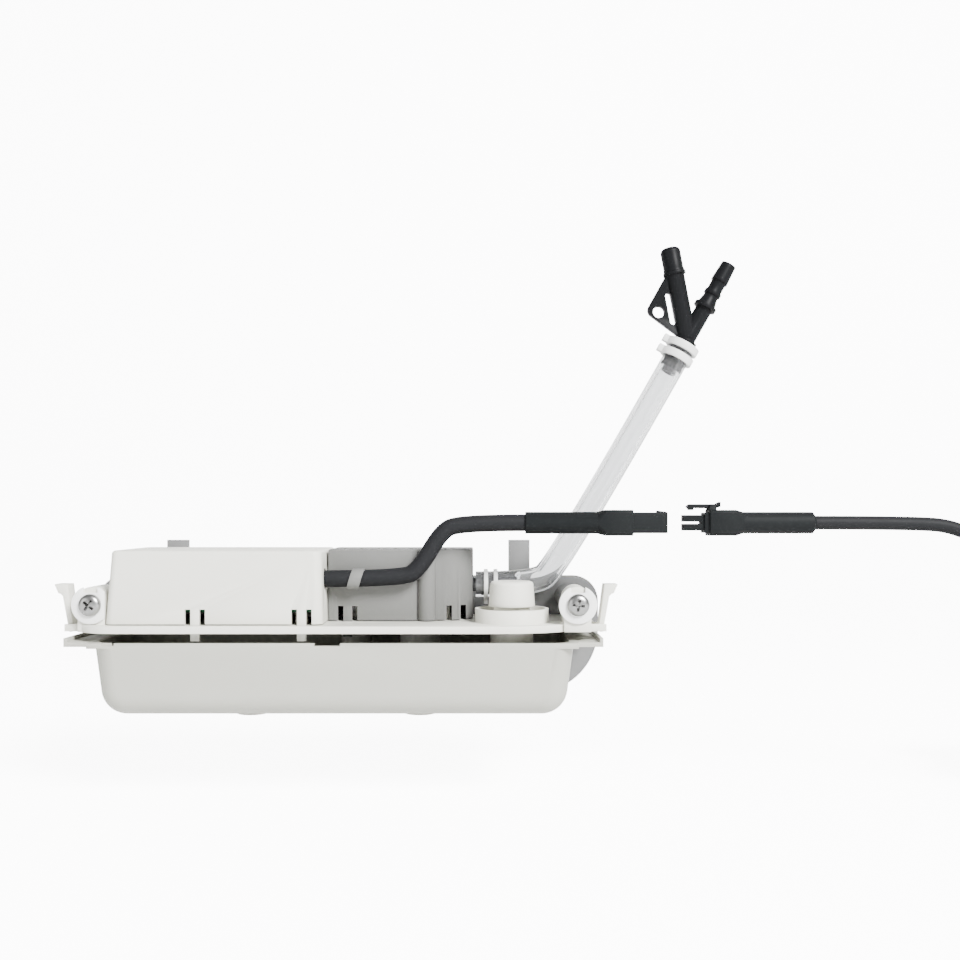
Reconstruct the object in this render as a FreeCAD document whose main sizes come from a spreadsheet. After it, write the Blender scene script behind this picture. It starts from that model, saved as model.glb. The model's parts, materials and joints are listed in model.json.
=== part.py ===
import FreeCAD, Part
import math
import os
import Sketcher

V = FreeCAD.Vector

# A small condensate pump. Lengths are in mm and angles in degrees.
# x runs to the right from the middle, y back from the tank's front, z up from the tank's underside.
SIZES = {
    # Whole unit
    "unit_deep": 55.5,
    "foot_high": 0.6,
    "foot_round": 6,
    "foot_side": 32,
    "foot_front": 13,
    "foot_rear": 40,
    "seat_gap": 0.3,
    "slide_gap": 0.06,
    "cut_over": 1,
    # Tank
    "tank_long": 180.6,
    "tank_deep": 50,
    "tank_high": 27.3,
    "tank_draft": 7.8,
    "tank_wall": 1.8,
    "tank_corner": 10,
    "tank_edge": 8,
    "lip_side": 1,
    "lip_thick": 2,
    "lip_back": 1.2,
    "ear_reach": 5,
    "ear_thick": 1.65,
    "ear_front": 3,
    "ear_rear": 47,
    "ear_lip": 1.2,
    "ear_lip_high": 1.6,
    "notch_deep": 1,
    "notch_a": -83.3,
    "notch_a_long": 4.5,
    "notch_b": -2,
    "notch_b_long": 9.6,
    # Base plate
    "plate_low": 30.8,
    "plate_thick": 2.7,
    "plate_front": 0.4,
    "plate_back": 50.6,
    "plate_right_run": 37.2,
    "plate_left_round": 17,
    "plate_right_round": 43.5,
    "plate_over": 3.4,
    "leg_reach": 4.5,
    "leg_deep": 43,
    "leg_round": 2.6,
    "leg_pin": 1.5,
    "leg_pin_long": 3.6,
    # Rubber-mounted screws
    "screw_inset": 7.6,
    "screw_high": 41.1,
    "boss_half": 5.1,
    "boss_crown": 1.7,
    "boss_front": 6.5,
    "boss_back": 22,
    "boss_wall": 1.3,
    "boss_hole": 3.1,
    "bush_flange": 7.2,
    "bush_flange_thick": 1.2,
    "bush_flat": 5.3,
    "bush_notch": 5.3,
    "bush_notch_deep": 2.6,
    "screw_shank": 2,
    "screw_head": 4.2,
    "screw_head_high": 2.4,
    "screw_dome": 3.2,
    "screw_long": 34,
    "cross_wide": 1,
    "cross_long": 4.6,
    "cross_deep": 1.5,
    # Release levers
    "lever_out": 1.8,
    "lever_mid": 14.5,
    "lever_wide": 7,
    "lever_thick": 1.9,
    "lever_barrel": 1.75,
    "lever_pin": 0.8,
    "lever_lug": 1.6,
    "lever_lean": 2.1,
    "lever_top": 48.6,
    "thumb_reach": 6.3,
    "thumb_tip": 1.6,
    "lever_thumb_low": 45,
    "lever_chamfer": 1,
    # Electronics cover
    "box_gap": 0.2,
    "box_right": -4.4,
    "box_lean": 2.3,
    "box_lean_in": 0.6,
    "box_front": 4.3,
    "box_back": 50.2,
    "cover_top": 61.6,
    "cover_wall": 1.8,
    "cover_corner": 3,
    "cover_edge": 1.4,
    "tongue_wide": 3.4,
    "tongue_slot": 2.1,
    "tongue_high": 6,
    "tongue_thick": 1.5,
    "tongue_drop": 5.9,
    "slot_over": 0.5,
    "box_tongue_a": -52.1,
    "box_tongue_b": -12.15,
    # Pump cover
    "case_gap": 0.3,
    "case_right": 52.3,
    "case_front": 20.3,
    "case_back": 50.2,
    "case_slant": 2.3,
    "case_step": 2.2,
    "case_rib": 34.2,
    "case_rib_round": 3.5,
    "case_side_round": 12,
    "case_tongue_a": 3.4,
    "case_tongue_b": 45.6,
    "case_tongue_back": 4.2,
    "case_vents": 7,
    "case_vent_first": 0.5,
    "case_vent_pitch": 6.6,
    "case_vent_long": 9,
    "case_vent_wide": 1.6,
    # Outlet and pump, one axis along x
    "pump_deep": 36,
    "pump_high": 47,
    "pump_left": 2.2,
    "tube_left": 8,
    "tube_right": 43,
    "tube_outer": 4.7,
    "tube_bore": 3.6,
    "piston_long": 15,
    "piston_left": 18,
    "piston_bore": 1.4,
    "piston_swing": 1.2,
    "yoke_half": 11.4,
    "yoke_wide": 14,
    "yoke_thick": 1.6,
    "bobbin_wall": 0.9,
    "bobbin_flange": 9.2,
    "bobbin_flange_thick": 1,
    "coil_outer": 8.6,
    "spring_wire": 0.35,
    "spring_round": 2.5,
    "spring_turns": 3,
    "head_outer": 6,
    "head_room": 1.4,
    "barb_start": 51.9,
    "barb_end": 69.6,
    "barb_root": 2.9,
    "barb_crest": 3.2,
    "barb_bore": 1.7,
    "barb_teeth": 4,
    "valve_round": 2.4,
    "valve_thick": 1,
    "valve_lift": 0.8,
    "valve_gap": 0.05,
    "valve_side_gap": 0.5,
    "mount_thick": 2.5,
    "mount_round": 7.6,
    "saddle_drop": 2,
    "strainer_side": 5.2,
    "strainer_outer": 6,
    "strainer_wall": 1.1,
    "strainer_low": 3.2,
    "strainer_slot_wide": 1.4,
    "strainer_slot_high": 7,
    "suction_rise": 3,
    "suction_round": 2.6,
    "suction_bore": 1.4,
    # Float column
    "float_side": 31.3,
    "float_deep": 27,
    "cage_outer": 7.9,
    "cage_wall": 1,
    "cage_low": 3,
    "float_round": 6.4,
    "float_high": 11,
    "cage_slot_wide": 3,
    "cage_slot_high": 13,
    "slot_rise": 0.6,
    # Inlet
    "inlet_side": 67.2,
    "inlet_deep": 19.3,
    "ring_outer": 14.25,
    "ring_wall": 1.2,
    "ring_top": 38.8,
    "spigot_outer": 7,
    "spigot_wall": 1.4,
    "spigot_top": 47.2,
    "cap_low": 39.6,
    "cap_top": 49.3,
    "cap_outer": 9,
    "cap_lean": 0.7,
    "cap_wall": 1.5,
    "cap_edge": 1.5,
    "drop_outer": 8.3,
    "drop_wall": 1.2,
    "drop_low": 15,
    "filter_wall": 1,
    "filter_low": 4,
    "filter_sink": 6,
    "filter_slot_wide": 1.6,
    "filter_slot_high": 9,
    # Wall plate
    "wall_thick": 2.5,
    "wall_over": 5.5,
    "wall_top": 49.6,
    "wall_low": 0.4,
    "wall_upper_round": 10.5,
    "wall_lower_round": 26.6,
    "post_side": 71.6,
    "post_wide": 8.9,
    "post_top": 64.5,
    "column_outer": 5,
    "column_front": 22.6,
    "wall_hole_side": 60,
    "wall_hole_high": 14,
    "wall_hole_round": 2.2,
    "rail_high": 3,
    # Circuit board and what stands on it
    "board_room": 7.1,
    "board_right": -9,
    "board_front": 9.5,
    "board_back": 45.5,
    "board_low": 38,
    "board_thick": 1.6,
    "part_edge": 6,
    "relay_side": 34,
    "relay_front": 13,
    "relay_gap": 5,
    "pillar_round": 2.6,
    "pillar_inset": 4.5,
    "transformer_long": 24,
    "transformer_deep": 20,
    "transformer_high": 15,
    "relay_long": 15,
    "relay_deep": 10,
    "relay_high": 12,
    "capacitor_round": 4.5,
    "capacitor_high": 13,
    "capacitor_side": 5.6,
    "capacitor_back": 12.7,
    "terminal_long": 20,
    "terminal_deep": 8,
    "terminal_high": 9,
    "terminal_edge": 1,
    "terminal_front": 3,
    "terminal_hole": 1.2,
    "terminal_hole_deep": 3,
    # Pump lead and its four-pole socket
    "lead_round": 3.25,
    "lead_deep": 15.4,
    "lead_high": 50.4,
    "gland_flange": 5,
    "gland_neck": 4.1,
    "gland_thick": 1.2,
    "gland_inset": 0.4,
    "socket_deep": 15.6,
    "socket_high": 71.94,
    "socket_start": 72.3,
    "socket_flare": 99.8,
    "socket_body": 102.9,
    "socket_nose": 113.2,
    "socket_mouth": 126.4,
    "socket_sleeve": 4.2,
    "plug_half": 4.95,
    "block_corner": 1.2,
    "nose_corner": 0.8,
    "prong_corner": 0.5,
    "round_share": 0.98,
    "nose_half": 4,
    "socket_hollow": 3.3,
    "socket_hollow_from": 116.9,
    "pole_pitch": 3,
    "pin_half": 0.4,
    "pin_long": 7,
    "pin_gap": 0.2,
    "pin_end_gap": 0.5,
    "ramp_long": 3.5,
    "ramp_high": 0.7,
    "ramp_tip": 0.2,
    "ramp_sink": 0.3,
    # Plug of the supply lead
    "plug_travel": 14,
    "plug_rest": 0.2,
    "prong_tip": 132.8,
    "prong_half": 3,
    "prong_split": 0.8,
    "prong_web": 1,
    "plug_body": 142.5,
    "plug_body_end": 152.4,
    "plug_collar_half": 3.9,
    "plug_sleeve": 155.9,
    "plug_sleeve_end": 182.6,
    "plug_sleeve_round": 4.15,
    "plug_neck_long": 0.9,
    "plug_neck_lip": 0.3,
    "latch_tip": 134.2,
    "latch_end": 147,
    "latch_pivot": 143.8,
    "latch_low": 77.3,
    "latch_high": 79.5,
    "latch_wide": 4,
    "latch_nose": 0.2,
    "latch_barb": 0.5,
    "latch_barb_top": 1,
    "latch_barb_end": 2.4,
    "latch_hub": 1.2,
    "latch_skin": 0.2,
    "latch_back": 0.4,
    "latch_thumb": 1.5,
    "latch_thumb_low": 0.8,
    "latch_thumb_high": 0.5,
    "cheek_thick": 1,
    "cheek_foot": 1.6,
    "cheek_top": 1,
    "cheek_sink": 0.5,
    "latch_pin": 0.6,
    "supply_round": 2.65,
    # Hose, its clamps and the branched vent connector
    "hose_outer": 5.2,
    "hose_bore": 3.25,
    "hose_start": 1.4,
    "hose_slope": 60.5,
    "hose_corner": 82.56,
    "hose_cut": 7,
    "hose_end": 111.5,
    "clamp_thick": 0.9,
    "clamp_wide": 1.6,
    "clamp_a": 57.4,
    "clamp_b": 61.3,
    "clamp_c": 105.4,
    "clamp_d": 109.9,
    "clamp_upper_thick": 1.5,
    "clamp_upper_wide": 3,
    "clamp_sink": 0.3,
    "clamp_ear": 2.2,
    "vee_start": 98,
    "vee_fork": 113.7,
    "vee_collar": 128.5,
    "vee_ring": 134.7,
    "vee_cone": 140,
    "vee_tip": 148,
    "vee_stem": 3,
    "vee_root": 2.8,
    "vee_arm": 3.4,
    "vee_tip_round": 3,
    "vee_bore": 1.7,
    "vee_stop": 1.5,
    "vee_collar_round": 4.6,
    "vee_bulge": 3.9,
    "vee_bulge_long": 3.6,
    "vee_ring_round": 3.5,
    "vent_slope": 40.3,
    "vent_root": 3.8,
    "vent_shoulder": 26.2,
    "vent_flange": 4.5,
    "vent_flange_thick": 1.2,
    "vent_spigot": 3,
    "vent_spigot_long": 6,
    "vent_bore": 1.6,
    "vent_cap_round": 4.15,
    "vent_cap_long": 10,
    "vent_cap_chamfer": 1,
    "vent_cap_room": 0.2,
    "tab_thick": 3,
    "tab_round": 3,
    "tab_tip_side": 20,
    "tab_tip": 132.6,
    "tab_corner_side": 19.9,
    "tab_corner": 114.9,
    "tab_foot_side": 3.7,
    "tab_foot": 112.8,
    "tab_hole": 2.34,
    "tab_hole_side": 15.3,
    "tab_hole_up": 117.3,
    "tab_slot": 1.2,
    "tab_slot_side": 11.8,
    "tab_slot_up": 120.8,
    "tab_slot_long": 13,
    # Coil of the supply lead on the floor, its tie and bare ends
    "coil_side": 313,
    "coil_deep": 28,
    "coil_inner": 20,
    "coil_turns_wide": 3.5,
    "coil_layers": 2,
    "coil_slack": 0.1,
    "coil_edge": 1.6,
    "tie_thick": 0.8,
    "tie_wide": 4,
    "tail_turns": 3,
    "tail_from": 18,
    "tail_long": 10,
    "core_round": 0.9,
    "core_pitch": 2,
    "core_long": 14,
    "ferrule_long": 6,
    # Strap that holds the pump lead to the pump cover
    "strap_side": 7.1,
    "strap_wide": 4.4,
    "strap_thick": 0.7,
    "strap_foot": 4,
    "strap_slope": 16.7,
}

doc = FreeCAD.newDocument("CondensatePump")
dim = doc.addObject("Spreadsheet::Sheet", "dim")
for row, (name, value) in enumerate(SIZES.items(), 1):
    dim.set(f"A{row}", name)
    dim.set(f"B{row}", str(value))
    dim.setAlias(f"B{row}", name)
doc.recompute()

# Places that follow from the tank's length, one outside the other
LIP_HALF = "(dim.tank_long / 2 + dim.lip_side)"
LEG_SIDE = f"({LIP_HALF} + dim.leg_reach)"
EAR_HALF = f"({LEG_SIDE} + dim.ear_reach)"
PLATE_END = f"({LEG_SIDE} + dim.plate_over)"
SCREW_SIDE = f"({PLATE_END} - dim.screw_inset)"
LEVER_HINGE = f"({PLATE_END} + dim.lever_out)"
BOX_LEFT = f"(dim.bush_flat + dim.box_gap - {SCREW_SIDE})"
BOARD_LEFT = f"({BOX_LEFT} + dim.board_room)"

HALF_TURN = 0.001
PLANES = {"XY": "XY_Plane", "XZ": "XZ_Plane", "YZ": "YZ_Plane"}
TURN = {
    "z": FreeCAD.Rotation(),
    "x": FreeCAD.Rotation(V(0, 1, 0), 90),
    "y": FreeCAD.Rotation(V(1, 0, 0), -90),
}
parts = []


def number(text):
    """The value of a text such as "dim.tank_high + 2"."""
    return float(dim.evalExpression(str(text)))


def bind(thing, terms):
    """Ties an object's properties to the sheet."""
    for name, text in terms.items():
        thing.setExpression(name, str(text))


def place(thing, at, turn="z"):
    """Sets an object's place, as three texts, and which way its own z points."""
    thing.Placement = FreeCAD.Placement(V(), TURN[turn])
    bind(thing, {f"Placement.Base.{axis}": text for axis, text in zip("xyz", at)})
    return thing


def box(name, size, at):
    """A block from its low corner."""
    made = doc.addObject("Part::Box", name)
    bind(made, dict(zip(("Length", "Width", "Height"), size)))
    return place(made, at)


def rod(name, radius, length, at, turn="z"):
    """A cylinder from the middle of its first end."""
    made = doc.addObject("Part::Cylinder", name)
    bind(made, {"Radius": radius, "Height": length})
    return place(made, at, turn)


def cone(name, first, second, length, at, turn="z"):
    """A cone from the middle of its first end."""
    made = doc.addObject("Part::Cone", name)
    bind(made, {"Radius1": first, "Radius2": second, "Height": length})
    return place(made, at, turn)


def pipe(name, outer, bore, length, at, turn="z"):
    """A round tube."""
    whole = rod(f"{name}_outer", outer, length, at, turn)
    return cut(name, whole, rod(f"{name}_bore", bore, length, at, turn))


def cut(name, base, *tools):
    """The base less the tools."""
    for count, tool in enumerate(tools, 1):
        made = doc.addObject("Part::Cut", name if count == len(tools) else f"{name}_cut{count}")
        made.Base = base
        made.Tool = tool
        base = made
    return base


def fuse(name, *pieces):
    """One solid, or a group of them, from several."""
    made = doc.addObject("Part::MultiFuse", name)
    made.Shapes = list(pieces)
    made.Refine = True
    return made


def keep(made, label):
    """Names a finished sub-part and stands it in the row's frame."""
    made.Label = label
    own = {path.strip("."): text for path, text in made.ExpressionEngine}
    for axis, shift in (("y", "- dim.unit_deep / 2"), ("z", "+ dim.foot_high")):
        path = f"Placement.Base.{axis}"
        made.setExpression(path, f"{own.get(path, '0')} {shift}")
    parts.append(made)
    return made


def body(name):
    return doc.addObject("PartDesign::Body", name)


def sketch(owner, name, plane, level="0"):
    """An empty sketch on one of the body's planes, lifted along the plane's normal."""
    made = owner.newObject("Sketcher::SketchObject", name)
    role = PLANES[plane]
    made.AttachmentSupport = ([f for f in owner.Origin.OriginFeatures if f.Role == role][0], [""])
    made.MapMode = "FlatFace"
    made.setExpression("AttachmentOffset.Base.z", str(level))
    return made


def tie(made, kind, spot, text):
    """Adds a dimension to a sketch, tied to the sheet."""
    place_in = made.addConstraint(Sketcher.Constraint(kind, *spot, number(text)))
    made.setExpression(f"Constraints[{place_in}]", str(text))


def held(made, edge, point, at):
    """Holds a point of a sketch by its two distances from the origin."""
    for kind, text in zip(("DistanceX", "DistanceY"), at):
        tie(made, kind, (edge, point), text)


def outline(made, points):
    """A closed outline. A point is (x, y), or (x, y, radius, side) where an arc leaves it:
    side 1 has the arc's centre on the left, side -1 on the right."""
    first = made.GeometryCount
    total = len(points)
    spots = [V(number(point[0]), number(point[1]), 0) for point in points]
    starts = []
    ends = []
    for index, point in enumerate(points):
        a = spots[index]
        b = spots[(index + 1) % total]
        if len(point) == 2:
            made.addGeometry(Part.LineSegment(a, b))
            starts.append(1)
            ends.append(2)
            continue
        radius = number(point[2])
        side = point[3]
        run = b - a
        rise = math.sqrt(max(radius ** 2 - (run.Length / 2) ** 2, 0))
        centre = (a + b) * 0.5 + V(-run.y, run.x, 0).normalize() * rise * side
        low, high = (a, b) if side > 0 else (b, a)
        start = math.atan2(low.y - centre.y, low.x - centre.x)
        end = math.atan2(high.y - centre.y, high.x - centre.x)
        if end < start:
            end += 2 * math.pi
        arc = made.addGeometry(Part.ArcOfCircle(Part.Circle(centre, V(0, 0, 1), radius), start, end))
        starts.append(1 if side > 0 else 2)
        ends.append(2 if side > 0 else 1)
        if rise < HALF_TURN:
            # A half turn: its centre lies on the line between its ends
            level = 1 if abs(run.x) > abs(run.y) else 0
            tie(made, ("DistanceX", "DistanceY")[level], (arc, 3), point[level])
        else:
            tie(made, "Radius", (arc,), point[2])
    for edge in range(total):
        after = (edge + 1) % total
        made.addConstraint(
            Sketcher.Constraint("Coincident", first + edge, ends[edge], first + after, starts[after])
        )
        held(made, first + edge, starts[edge], points[edge][:2])
    return made


def circle(made, radius, at):
    """A circle in a sketch."""
    edge = made.addGeometry(Part.Circle(V(number(at[0]), number(at[1]), 0), V(0, 0, 1), number(radius)))
    tie(made, "Radius", (edge,), radius)
    held(made, edge, 3, at)
    return made


def rectangle(made, left, low, right, high):
    """An upright rectangle in a sketch."""
    return outline(made, [(left, low), (right, low), (right, high), (left, high)])


def feature(owner, kind, name, profile, length, backwards=False):
    """A pad or pocket of a sketch, backwards where it runs against the plane's normal."""
    made = owner.newObject(f"PartDesign::{kind}", name)
    made.Profile = profile
    made.setExpression("Length", str(length))
    made.Reversed = backwards
    return made


def pad(owner, name, profile, length, backwards=False):
    return feature(owner, "Pad", name, profile, length, backwards)


def pocket(owner, name, profile, length, backwards=False):
    """A pocket that has to take something away."""
    before = solid(owner).Volume
    made = feature(owner, "Pocket", name, profile, length, backwards)
    after = solid(owner).Volume
    if not after < before:
        raise ValueError(f"{name} takes nothing away")
    return made


def spin(owner, name, profile, axis="V_Axis"):
    """A full turn of a sketch about one of its axes."""
    made = owner.newObject("PartDesign::Revolution", name)
    made.Profile = profile
    made.ReferenceAxis = (profile, [axis])
    made.Angle = 360
    return made


def solid(owner):
    """The body's shape so far."""
    doc.recompute()
    return owner.Tip.Shape


def rounded(owner, name, radius, test):
    """A fillet on the edges whose bounding box passes the test."""
    base = owner.Tip
    shape = solid(owner)
    names = [f"Edge{count}" for count, edge in enumerate(shape.Edges, 1) if test(edge.BoundBox)]
    made = owner.newObject("PartDesign::Fillet", name)
    made.Base = (base, names)
    made.setExpression("Radius", str(radius))
    return made


def hollow(owner, name, wall, test):
    """A shell open at the faces whose bounding box passes the test."""
    base = owner.Tip
    shape = solid(owner)
    names = [f"Face{count}" for count, face in enumerate(shape.Faces, 1) if test(face.BoundBox)]
    made = owner.newObject("PartDesign::Thickness", name)
    made.Base = (base, names)
    made.setExpression("Value", str(wall))
    made.Mode = 0
    made.Join = 0
    made.Reversed = True
    return made


# Tank


def tank():
    owner = body("tank_body")
    top = "(dim.tank_long / 2)"
    low = "(dim.tank_long / 2 - tan(dim.tank_draft * 1deg) * dim.tank_high)"
    front = outline(
        sketch(owner, "tank_front", "XZ"),
        [(f"-{top}", "dim.tank_high"), (f"-{low}", "0"), (low, "0"), (top, "dim.tank_high")],
    )
    pad(owner, "tank_form", front, "dim.tank_deep", backwards=True)
    rounded(owner, "tank_corners", "dim.tank_corner", lambda b: b.ZMax < 0.1 and b.YLength > 1)
    deep = number("dim.tank_deep")
    high = number("dim.tank_high")
    rounded(
        owner, "tank_edges", "dim.tank_edge",
        lambda b: (b.YMax < 0.1 or b.YMin > deep - 0.1) and b.ZMin < high - 0.1,
    )
    hollow(owner, "tank_shell", "dim.tank_wall", lambda b: b.ZMin > high - 0.1)
    # The rim: square outside, following the shell's round corners inside
    rim = sketch(owner, "tank_rim_plan", "XY", "dim.tank_high - dim.lip_thick")
    side = LIP_HALF
    rectangle(rim, f"-{side}", "0", side, "dim.tank_deep + dim.lip_back")
    turn = "(dim.tank_edge - dim.tank_wall)"
    inner = "(dim.tank_long / 2 - dim.tank_wall)"
    near = "dim.tank_wall"
    far = "(dim.tank_deep - dim.tank_wall)"
    outline(rim, [
        (f"{inner} - {turn}", near, turn, 1),
        (inner, f"{near} + {turn}"),
        (inner, f"{far} - {turn}", turn, 1),
        (f"{inner} - {turn}", far),
        (f"-{inner} + {turn}", far, turn, 1),
        (f"-{inner}", f"{far} - {turn}"),
        (f"-{inner}", f"{near} + {turn}", turn, 1),
        (f"-{inner} + {turn}", near),
    ])
    pad(owner, "tank_rim", rim, "dim.lip_thick")
    # Ears that hang on the plate's rear pins, with an upturned outer lip
    for way, sign in (("left", "-"), ("right", "")):
        ear = sketch(owner, f"ear_plan_{way}", "XY", "dim.tank_high - dim.ear_thick")
        ends = [f"{sign}dim.tank_long / 2", f"{sign}{EAR_HALF}"]
        if sign:
            ends.reverse()
        rectangle(ear, ends[0], "dim.ear_front", ends[1], "dim.ear_rear")
        pad(owner, f"ear_{way}", ear, "dim.ear_thick")
        lip = sketch(owner, f"ear_lip_plan_{way}", "XY", "dim.tank_high")
        ends = [f"{sign}({EAR_HALF} - dim.ear_lip)", f"{sign}{EAR_HALF}"]
        if sign:
            ends.reverse()
        rectangle(lip, ends[0], "dim.ear_front", ends[1], "dim.ear_rear")
        pad(owner, f"ear_lip_{way}", lip, "dim.ear_lip_high")
        hole = circle(
            sketch(owner, f"ear_hole_plan_{way}", "XY", "dim.tank_high"),
            "dim.leg_pin + dim.slide_gap", (f"{sign}{LEG_SIDE}", "dim.leg_deep"),
        )
        pocket(owner, f"ear_hole_{way}", hole, "dim.ear_thick + dim.cut_over")
    for mark in ("a", "b"):
        cut_out = rectangle(
            sketch(owner, f"notch_plan_{mark}", "XZ"),
            f"dim.notch_{mark} - dim.notch_{mark}_long / 2", "dim.tank_high - dim.notch_deep",
            f"dim.notch_{mark} + dim.notch_{mark}_long / 2", "dim.tank_high + dim.cut_over",
        )
        pocket(owner, f"notch_{mark}", cut_out, "dim.tank_wall")
    feet = sketch(owner, "feet_plan", "XY", "-dim.foot_high")
    for sign in ("-", ""):
        for deep in ("dim.foot_front", "dim.foot_rear"):
            circle(feet, "dim.foot_round", (f"{sign}dim.foot_side", deep))
    pad(owner, "feet", feet, "dim.foot_high + dim.tank_wall / 2")
    return keep(owner, "tank")


# Base plate

PLATE_TOP = "(dim.plate_low + dim.plate_thick)"
HINGE_HIGH = "(dim.plate_low + dim.plate_thick / 2)"
YOKE_LEFT = "(dim.tube_left + dim.mount_thick)"
YOKE_RIGHT = "(dim.tube_right - dim.mount_thick)"


# Each snap tongue's middle and its front
TONGUES = {
    "box_a": ("dim.box_tongue_a", "dim.box_front"),
    "box_b": ("dim.box_tongue_b", "dim.box_front"),
    "case_a": ("dim.case_tongue_a", "dim.case_front"),
    "case_b": ("dim.case_tongue_b", "(dim.case_front + dim.case_tongue_back)"),
}


def base_plate():
    owner = body("plate_body")
    end = PLATE_END
    sweep = (
        "dim.plate_front + dim.plate_right_round"
        " - sqrt(dim.plate_right_round ^ 2 - dim.plate_right_run ^ 2)"
    )
    plan = outline(sketch(owner, "plate_plan", "XY", "dim.plate_low"), [
        (f"-{end}", "dim.plate_back"),
        (f"-{end}", "dim.plate_front + dim.plate_left_round", "dim.plate_left_round", 1),
        (f"-{end} + dim.plate_left_round", "dim.plate_front"),
        (f"{end} - dim.plate_right_run", "dim.plate_front", "dim.plate_right_round", 1),
        (end, sweep),
        (end, "dim.plate_back"),
    ])
    pad(owner, "plate", plan, "dim.plate_thick")
    for way, sign in (("left", "-"), ("right", "")):
        plate_end(owner, way, sign)
    # Inlet ring and spigot, and the drop tube under them
    at = ("dim.inlet_side", "dim.inlet_deep")
    ring = sketch(owner, "ring_plan", "XY", PLATE_TOP)
    circle(ring, "dim.ring_outer", at)
    circle(ring, "dim.ring_outer - dim.ring_wall", at)
    pad(owner, "ring", ring, f"dim.ring_top - {PLATE_TOP}")
    spigot = circle(sketch(owner, "spigot_plan", "XY", PLATE_TOP), "dim.spigot_outer", at)
    pad(owner, "spigot", spigot, f"dim.spigot_top - {PLATE_TOP}")
    bore = circle(
        sketch(owner, "spigot_bore_plan", "XY", "dim.spigot_top"), "dim.spigot_outer - dim.spigot_wall", at
    )
    pocket(owner, "spigot_bore", bore, "dim.spigot_top - dim.plate_low + dim.cut_over")
    drop = sketch(owner, "drop_plan", "XY", "dim.drop_low")
    circle(drop, "dim.drop_outer", at)
    circle(drop, "dim.drop_outer - dim.drop_wall", at)
    pad(owner, "drop", drop, "dim.plate_low - dim.drop_low")
    # Slots for the covers' tongues
    for name, (middle, near) in TONGUES.items():
        slot = rectangle(
            sketch(owner, f"slot_plan_{name}", "XY", PLATE_TOP),
            f"{middle} - dim.tongue_wide / 2 - dim.seat_gap", f"{near} - dim.seat_gap",
            f"{middle} + dim.tongue_wide / 2 + dim.seat_gap", f"{near} + dim.tongue_thick + dim.seat_gap",
        )
        pocket(owner, f"slot_{name}", slot, "dim.plate_thick + dim.cut_over")
    # Holes under the pump for its suction tube and over the float column for its sensor
    hole = circle(
        sketch(owner, "suction_hole_plan", "XY", PLATE_TOP),
        "dim.suction_round + dim.seat_gap", ("dim.strainer_side", "dim.pump_deep"),
    )
    pocket(owner, "suction_hole", hole, "dim.plate_thick + dim.cut_over")
    # Saddles that carry the pump's rubber rings
    for way, near in (("left", "dim.tube_left"), ("right", f"{YOKE_RIGHT}")):
        saddle = rectangle(
            sketch(owner, f"saddle_plan_{way}", "XY", PLATE_TOP),
            f"{near} + dim.slide_gap", "dim.pump_deep - dim.mount_round",
            f"{near} + dim.mount_thick - dim.slide_gap", "dim.pump_deep + dim.mount_round",
        )
        pad(owner, f"saddle_{way}", saddle, f"dim.pump_high - dim.saddle_drop - {PLATE_TOP}")
        seat = circle(
            sketch(owner, f"saddle_seat_plan_{way}", "YZ", near),
            "dim.mount_round", ("dim.pump_deep", "dim.pump_high"),
        )
        pocket(owner, f"saddle_seat_{way}", seat, "dim.mount_thick", backwards=True)
    # Pillars under the circuit board
    pillars = sketch(owner, "pillar_plan", "XY", PLATE_TOP)
    for side in (f"{BOARD_LEFT} + dim.pillar_inset", "dim.board_right - dim.pillar_inset"):
        for deep in ("dim.board_front + dim.pillar_inset", "dim.board_back - dim.pillar_inset"):
            circle(pillars, "dim.pillar_round", (side, deep))
    pad(owner, "pillars", pillars, f"dim.board_low - {PLATE_TOP}")
    return keep(owner, "base_plate")


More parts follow.
